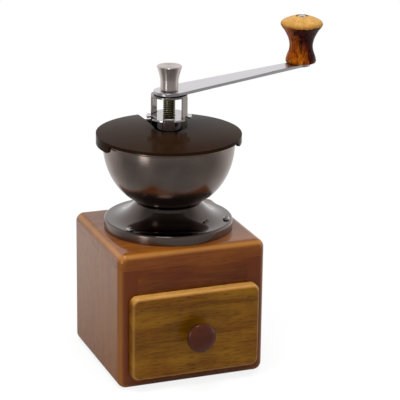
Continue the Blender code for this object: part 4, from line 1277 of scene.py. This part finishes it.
def stopper():
    """Plate and collar as rings with a square hole, and two strips for the legs."""
    facets = 120
    hole = square_reach(square_half + clearance, full_turn(facets))
    top = stopper_high.z
    plate_foot = top - plate_thick
    collar_foot = plate_foot - collar_height
    plate = rings([hole, collar_radius - collar_ease, collar_radius, collar_radius, plate_radius,
                   plate_radius, hole], [collar_foot, collar_foot, collar_foot + collar_ease, plate_foot,
                                         plate_foot, top, top], facets)
    half = leg_thick / 2
    centre = (leg_outer - leg_bend, top - leg_bend)
    bend = arc(centre, leg_bend - half, 90, 0, 8)
    path = np.vstack([(leg_root, top - half), bend, (leg_outer - half, stopper_low.z)])
    outward = np.vstack([(0, 1), (bend - centre) / (leg_bend - half), (1, 0)])
    leg = strip(path, outward, leg_width, leg_thick, leg_ease)
    sheets = [swung(plate, arm_turn), swung(leg, legs_turn), swung(leg, legs_turn + math.pi)]
    return dress("stopper", sheets, "crank", "steel", steel_plate, sharp=40.0, bevel=0.3 * MM,
                 bevel_angle=60.0)


stopper()

# %% [markdown]
# ## The arm
# One flat blank: a round root under the knob, straight sides that taper, and a small disc under the
# grip. Two discs and a box could be joined by Booleans, which leaves thin faces where they meet. An
# outline of two arcs has none: the straight sides are the lines between the arcs' ends.

# %% Crank arm
arm_reach = math.hypot(grip_middle.x, grip_middle.y)
root_radius = 9.9 * MM
arm_end_radius = 6.6 * MM
arm_neck_half = 5.4 * MM


def crank_arm():
    """Outline = root arc, two tapering sides, end arc; the blank is that outline at two heights."""
    neck = math.asin(arm_neck_half / arm_end_radius)
    neck_reach = arm_reach - arm_end_radius * math.cos(neck)
    lean = math.degrees(math.asin((root_radius - arm_neck_half) / neck_reach))
    root = arc((0.0, 0.0), root_radius, 90 - lean, 270 + lean, 64)
    open_end = 180 - math.degrees(neck)
    end = arc((arm_reach, 0.0), arm_end_radius, -open_end, open_end, 56)
    outline = np.vstack([root, end])
    inner = np.column_stack([np.clip(outline[:, 0], 0.0, arm_reach), np.zeros(len(outline))])
    rows = [np.column_stack([points, np.full(len(points), height)]) for points, height in
            ((inner, arm_low.z), (outline, arm_low.z), (outline, arm_high.z), (inner, arm_high.z))]
    arm = swung(Sheet(np.stack(rows), False, True), arm_turn)
    return dress("crank_arm", [arm], "crank", "steel", steel_arm, bevel=0.3 * MM, bevel_angle=50.0)


crank_arm()

# %% [markdown]
# The fixing knob is turned: a straight stem that flares to a flat top. The grip above the arm's end
# is turned too, with a recess in its crown where the head of its axle lies. Both are outlines spun
# about an upright axis, as they are on the lathe.

# %% Fixing knob
fix_low, fix_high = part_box("fixing_knob")
stem_radius = 5.75 * MM
stem_height = 6.2 * MM
fix_radius = 8.05 * MM
fix_rim = 0.4 * MM
fix_power = 1.35


def fixing_knob():
    """Radius = stem + (top - stem) * share^1.35 above the stem."""
    share = np.linspace(0.0, 1.0, 20)
    flare_foot = fix_low.z + stem_height
    side = np.column_stack([stem_radius + (fix_radius - stem_radius) * share ** fix_power,
                            flare_foot + (fix_high.z - fix_rim - flare_foot) * share])
    outline = np.vstack([(0.0, fix_low.z), (stem_radius - chamfer, fix_low.z),
                         (stem_radius, fix_low.z + chamfer), side, (fix_radius - fix_rim, fix_high.z),
                         (0.0, fix_high.z)])
    return dress("fixing_knob", [turned(outline, 128)], "crank", "steel", steel_turned, sharp=30.0)


fixing_knob()

# %% [markdown]
# The grip is a waisted grip for two fingers and a thumb: wide at its foot, slim in the middle, with
# a broad crown. A curve object with handles could be shaped by eye. Here its outline is a list of
# shares of its height and radius, read from the photograph, with a smooth curve through them.

# %% Grip
grip_radius = (grip_high.x - grip_low.x) / 2
grip_height = grip_high.z - grip_low.z
grip_axis = (grip_middle.x, grip_middle.y, 0.0)
grip_shares = ((0.0, 0.690), (0.02, 0.715), (0.05, 0.722), (0.11, 0.692), (0.19, 0.635), (0.26, 0.580),
               (0.345, 0.552), (0.43, 0.567), (0.52, 0.620), (0.61, 0.712), (0.70, 0.825),
               (0.77, 0.945), (0.825, 1.0), (0.865, 0.970), (0.90, 0.890), (0.93, 0.760),
               (0.965, 0.570), (0.99, 0.400), (1.0, 0.300))
axle_radius = 2.0 * MM
axle_hole = axle_radius + 0.1 * MM
recess_radius = 4.2 * MM
recess_floor = grip_high.z - 1.6 * MM


def wooden_grip():
    """Radius = the grip's own times a share that flows with the height, then in to the recess."""
    side = shaped_side(grip_shares, grip_radius, grip_height)
    side = np.minimum(side, (grip_radius, grip_height)) + (0.0, grip_low.z)
    outline = np.vstack([(axle_hole, grip_low.z), side, (recess_radius, recess_floor),
                         (axle_hole, recess_floor)])
    grip = moved(turned(outline, 128), grip_axis)
    return dress("wooden_grip", [grip], "grip", "grip_wood", wood_grip, sharp=50.0)


wooden_grip()

# %% [markdown]
# The grip turns on a bolt that is riveted under the arm. Only the bolt's head shows, in the recess
# of the crown. The whole bolt is one outline, so the grip has something to turn on in every view.

# %% The axle in the grip
rivet_radius = 3.4 * MM
bolt_radius = 2.8 * MM
dome_radius = 4.1 * MM
dome_start = 48


def grip_bolt():
    """A rivet head under the arm, the axle, and a head whose top is an arc of a larger circle."""
    low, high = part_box("grip_bolt")
    rivet_top = arm_low.z - clearance
    head_foot = recess_floor + clearance
    dome = arc((0.0, high.z - dome_radius), dome_radius, dome_start, 90, 8)
    outline = np.vstack([(0.0, low.z), (rivet_radius, low.z), (rivet_radius, rivet_top),
                         (axle_radius, rivet_top), (axle_radius, head_foot), (bolt_radius, head_foot), dome])
    bolt = moved(turned(outline, 64), grip_axis)
    return dress("grip_bolt", [bolt], "crank", "steel", steel_screw, bevel=0.15 * MM)


grip_bolt()

# %% [markdown]
# ## The burrs
# Both burrs are saw-toothed round the turn, and the teeth wind as they rise. One tooth could be
# modelled and copied round. As a formula the saw is shorter: its phase is the angle plus the twist
# so far, times the number of flutes. The cone turns inside the ring, and beans are drawn down
# between their edges.

# %% Saw teeth
ring_low, ring_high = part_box("outer_burr")
flute_twist = math.radians(50)
foot_radius = 16.0 * MM
mouth_radius = 13.3 * MM
ring_flutes, ring_flute_depth = 12, 2.2 * MM
cone_flutes, cone_flute_depth = 8, 3.0 * MM
least_depth = 0.18
flute_steps = 25
valley = 0.75


def saw(flutes, angle, twist):
    """0 at a tooth's edge, rising to 1 in its valley over three quarters of the pitch, then back."""
    phase = (angle + twist) * flutes / math.tau % 1.0
    return np.where(phase < valley, phase / valley, (1.0 - phase) / (1.0 - valley))


def outer_burr():
    """Bore = a straight cone of edges plus the saw's depth, which grows with the height."""
    facets = ring_flutes * 20
    share = np.linspace(1.0, 0.0, flute_steps)[:, None]
    edge = foot_radius + (mouth_radius - foot_radius) * share
    depth = ring_flute_depth * (least_depth + (1 - least_depth) * share)
    bore = edge + depth * saw(ring_flutes, full_turn(facets), -flute_twist * share)
    heights = [ring_low.z, ring_high.z, *(ring_low.z + (ring_high.z - ring_low.z) * share[:, 0])]
    burr = rings([ring_high.x, ring_high.x, *bore], heights, facets)
    return dress("outer_burr", [burr], "root", "ceramic", ceramic, sharp=30.0)


outer_burr()

# %% [markdown]
# The cone's edges follow the ring's with an even gap where the grounds leave, and fall away from it
# higher up, where whole beans enter. Its flutes are fewer and deeper. Carving them from a cone by
# Booleans would take eight twisted cutters.

# %% Inner burr
grind_gap = 0.5 * MM
fine_share = 0.35
hub_wall = 4.5 * MM


def cone_edge(height):
    """Close to the ring's edges up to the end of the fine zone, then straight in to the hub."""
    turn_height = burr_low.z + (burr_high.z - burr_low.z) * fine_share
    rise = (np.minimum(height, turn_height) - ring_low.z) / (ring_high.z - ring_low.z)
    fine = foot_radius + (mouth_radius - foot_radius) * rise - grind_gap
    hub = square_half * math.sqrt(2) + hub_wall
    share = np.clip((height - turn_height) / (burr_high.z - turn_height), 0, 1)
    return fine * (1 - share) + hub * share


def inner_burr():
    """Radius = the edge's less the saw's depth, which is greatest above the middle."""
    facets = cone_flutes * 28
    angle = full_turn(facets)
    share = np.linspace(0.0, 1.0, flute_steps)[:, None]
    height = burr_low.z + (burr_high.z - burr_low.z) * share
    depth = cone_flute_depth * (least_depth + (1 - least_depth) * np.sin(share * math.pi * 0.7))
    outside = cone_edge(height) - depth * saw(cone_flutes, angle, flute_twist * share)
    hole = square_reach(square_half + clearance, angle)
    burr = rings([hole, *outside, hole], [burr_low.z, *height[:, 0], burr_high.z], facets)
    return dress("inner_burr", [swung(burr, arm_turn)], "crank", "ceramic", ceramic, sharp=30.0)


inner_burr()

# %% [markdown]
# ## What holds it together
# The shaft runs in two bushes of brass, and a washer and a nut hold the cone on it. A cylinder with
# a hole would do for each, but their edges are rounded, and those catch the light first. So each is
# a closed outline whose corners are eased, spun about the axis.

# %% Bushes and washer
bush_radius = 5.4 * MM
bush_lip = 1.1 * MM
ring_ease = 0.15 * MM


def ring_piece(node, body, slot, finish, bore, *outside):
    """Spin a closed outline with eased corners: the bore, and (radius, height) points outside it."""
    low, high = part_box(node)
    outline = [(bore, low.z), *outside, (high.x, high.z), (bore, high.z)]
    return dress(node, [turned(eased(outline, ring_ease), 96)], body, slot, finish, sharp=40.0)


for bush in ("upper_bush", "lower_bush"):
    low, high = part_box(bush)
    lip = high.z - bush_lip
    ring_piece(bush, "root", "bush_brass", brass, shaft_bore,
               (bush_radius, low.z), (bush_radius, lip), (high.x, lip))
low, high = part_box("burr_washer")
ring_piece("burr_washer", "crank", "steel", steel_inner, stud_radius + clearance, (high.x, low.z))

# %% [markdown]
# A hexagon nut could be a cylinder with six sides, but its corners are cut back by a cone at both
# ends, which a ring of radii gives for nothing: the smaller of the hexagon's radius and the cone's.

# %% Burr nut
nut_flat = 4.75 * MM
nut_round = 4.95 * MM


def burr_nut():
    """Hexagon radius = half / cos(angle from the nearest flat), cut back by a cone at each end."""
    low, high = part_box("burr_nut")
    facets = 120
    sixth = math.tau / 6
    flats = nut_flat / np.cos((full_turn(facets) + sixth / 2) % sixth - sixth / 2)
    cut = np.minimum(flats, nut_round)
    bore = stud_radius + clearance
    nut = rings([bore, cut, flats, flats, cut, bore],
                [low.z, low.z, low.z + nut_chamfer, high.z - nut_chamfer, high.z, high.z], facets)
    return dress("burr_nut", [swung(nut, arm_turn)], "crank", "steel", steel_inner, sharp=30.0)


burr_nut()

# %% [markdown]
# The bridge, the spider and the ring under the burr are cut from sheet. They could be drawn again,
# but they would come out the same. So they are copies of their solids: a copy's loose triangles are
# merged and its flats made whole, and then a bevel can break the edges.

# %% Sheet-metal parts from their solids
sheet_ease = 0.12 * MM
flat_angle = math.radians(1.0)


def cleaned_copy(node, slot, finish):
    """Merge a solid's loose triangles, dissolve the lines across its flats, and bevel what is left."""
    shape = bmesh.new()
    shape.from_mesh(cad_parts[node].data)
    bmesh.ops.remove_doubles(shape, verts=shape.verts, dist=merge_distance)
    bmesh.ops.dissolve_limit(shape, angle_limit=flat_angle, verts=shape.verts, edges=shape.edges)
    piece = finished_mesh(node + "_dressed", shape, sharp=35.0, bevel=sheet_ease, bevel_angle=50.0)
    return fit(piece, "root", slot, finish, node)


for sheet_part in ("hopper_bridge", "burr_spider", "burr_ring"):
    cleaned_copy(sheet_part, "steel", steel_inner)

# %% [markdown]
# ## Floor and light
# The photograph has a plain white ground. A floor lit until it clips would be white too, but that
# much light would bleach the wood. So the floor is pale and keeps the mill's shadow, and most of
# what the camera sees of it is its own even white, which mirrors see as well. In front of the mill,
# where the photographer stands, a real studio is darker, and dark plating shows it: so the white
# that reflections see fades towards the camera's side.

# %% White that fades towards the camera's side
away = np.array((math.sin(camera_turn), math.cos(camera_turn), 0.0))
studio_bright = 0.90


def studio_white(tree, place, to_white, low, high, dim):
    """White at the back and dim towards the camera's side: a smooth step along one direction."""
    along = add_node(tree, "ShaderNodeVectorMath", {"operation": "DOT_PRODUCT"},
                     {0: place, 1: tuple(to_white)}, "Value")
    return smooth_step(tree, along, low, high, dim, studio_bright)


def ray_kinds(tree):
    """1 for what the camera sees, and 1 for what a mirror or glass shows."""
    path = add_node(tree, "ShaderNodeLightPath").socket.node.outputs
    kinds = ("Is Camera Ray", "Is Glossy Ray", "Is Transmission Ray")
    seen, glossy, through = (Wire(tree, path[kind]) for kind in kinds)
    return seen, glossy + through


# %% [markdown]
# The floor mixes two surfaces. What falls on it as light meets a matte grey white, which takes the
# shadow. What looks at it, the camera or a mirror, sees that mixed with an even glow, which takes
# over entirely further out, so that no horizon shows.

# %% Floor
floor_radius = 5.0
floor_grey = 0.86
floor_dim = 0.10
floor_fade = (-0.12, 0.25)
far_fade = (0.25, 0.60)
far_share = 0.35
glow_fade = (0.20, 0.50)


def studio_floor():
    """A plain disc. Its colour is even white seen by camera or mirror, over a lit diffuse surface."""
    edge = arc((0.0, 0.0), floor_radius, 0, 360, 64)[:-1]
    rows = [np.column_stack([edge * share, np.full(len(edge), box_low.z)]) for share in (0.0, 0.2, 1.0)]
    floor = surface("studio_floor", [Sheet(np.stack(rows), False, True)])
    material = bpy.data.materials.new("studio_floor")
    material.use_nodes = True
    tree = material.node_tree
    tree.nodes.clear()
    seen, mirrored = ray_kinds(tree)
    place = add_node(tree, "ShaderNodeTexCoord", output="Object")
    far = add_node(tree, "ShaderNodeVectorMath", {"operation": "LENGTH"}, {0: place}, "Value")
    white = studio_white(tree, place, away, *floor_fade, floor_dim)
    white = white + smooth_step(tree, far, *far_fade, 0.0, far_share) * (1 - white)
    glow = add_node(tree, "ShaderNodeEmission", {}, {
        "Color": (1.0, 1.0, 1.0), "Strength": seen + mirrored * white})
    matte = add_node(tree, "ShaderNodeBsdfDiffuse", {}, {"Color": (floor_grey, floor_grey, floor_grey)})
    even = smooth_step(tree, far, *glow_fade, floor_grey, 1.0)
    both = add_node(tree, "ShaderNodeMixShader", {}, {0: (seen + mirrored) * even, 1: matte, 2: glow})
    output = tree.nodes.new("ShaderNodeOutputMaterial")
    tree.links.new(both.socket, output.inputs["Surface"])
    floor.data.materials.append(material)
    print("floor:", floor_radius, "m")


studio_floor()

# %% [markdown]
# The world does the same for the rest of the room: white to the camera, a fading white to mirrors,
# and a dim even light on all that is matte. A picture of a studio would light it too, but a plain
# formula keeps every reflection calm.

# %% World
world_dim = 0.28
world_fade = (-0.45, 0.35)
world_light = 0.45
dark_above = 0.5


def studio_world():
    """White to the camera, fading white to mirrors, and an even dim light to all that is matte."""
    world = bpy.data.worlds.new("studio")
    bpy.context.scene.world = world
    world.use_nodes = True
    tree = world.node_tree
    tree.nodes.clear()
    seen, mirrored = ray_kinds(tree)
    direction = add_node(tree, "ShaderNodeTexCoord", output="Generated")
    white = studio_white(tree, direction, away - (0.0, 0.0, dark_above), *world_fade, world_dim)
    sky = add_node(tree, "ShaderNodeBackground", {}, {
        "Color": (1.0, 1.0, 1.0), "Strength": seen + mirrored * white + (1 - seen - mirrored) * world_light})
    output = tree.nodes.new("ShaderNodeOutputWorld")
    tree.links.new(sky.socket, output.inputs["Surface"])
    print("world light:", world_light)


studio_world()

# %% [markdown]
# Three soft lamps light the mill. A broad one overhead gives most of the light and the soft shadow,
# and mirrors don't see it, because it would show as a white square on the varnish. A smaller one at
# the same height is there for them and makes the small glints. A narrow strip stands close on the
# left, level with the hopper's foot, and is mirrored in the plating.

# %% Lamps


def softbox(name, place, size, power, target=(0.0, 0.0, 0.1), mirrored=True):
    """A rectangular lamp that faces the mill. It may be left out of what polished metal mirrors."""
    data = bpy.data.lights.new(name, "AREA")
    data.shape = "RECTANGLE"
    data.size, data.size_y = size
    data.energy = power
    lamp = bpy.data.objects.new(name, data)
    bpy.context.scene.collection.objects.link(lamp)
    lamp.location = place
    lamp.visible_camera = False
    lamp.visible_glossy = mirrored
    lamp.rotation_euler = (Vector(target) - Vector(place)).to_track_quat("-Z", "Y").to_euler()
    print(f"{name}: {power} W")


softbox("overhead", place=(-0.12, -0.25, 1.3), size=(0.9, 0.9), power=18.5, mirrored=False)
softbox("glint", place=(-0.20, -0.25, 1.3), size=(0.36, 0.36), power=2.0)
softbox("strip_left", place=(-0.24, -0.138, 0.105), size=(0.06, 0.11), power=0.066,
        target=(0.0, 0.0, 0.105))
bpy.context.scene.view_settings.view_transform = "Standard"
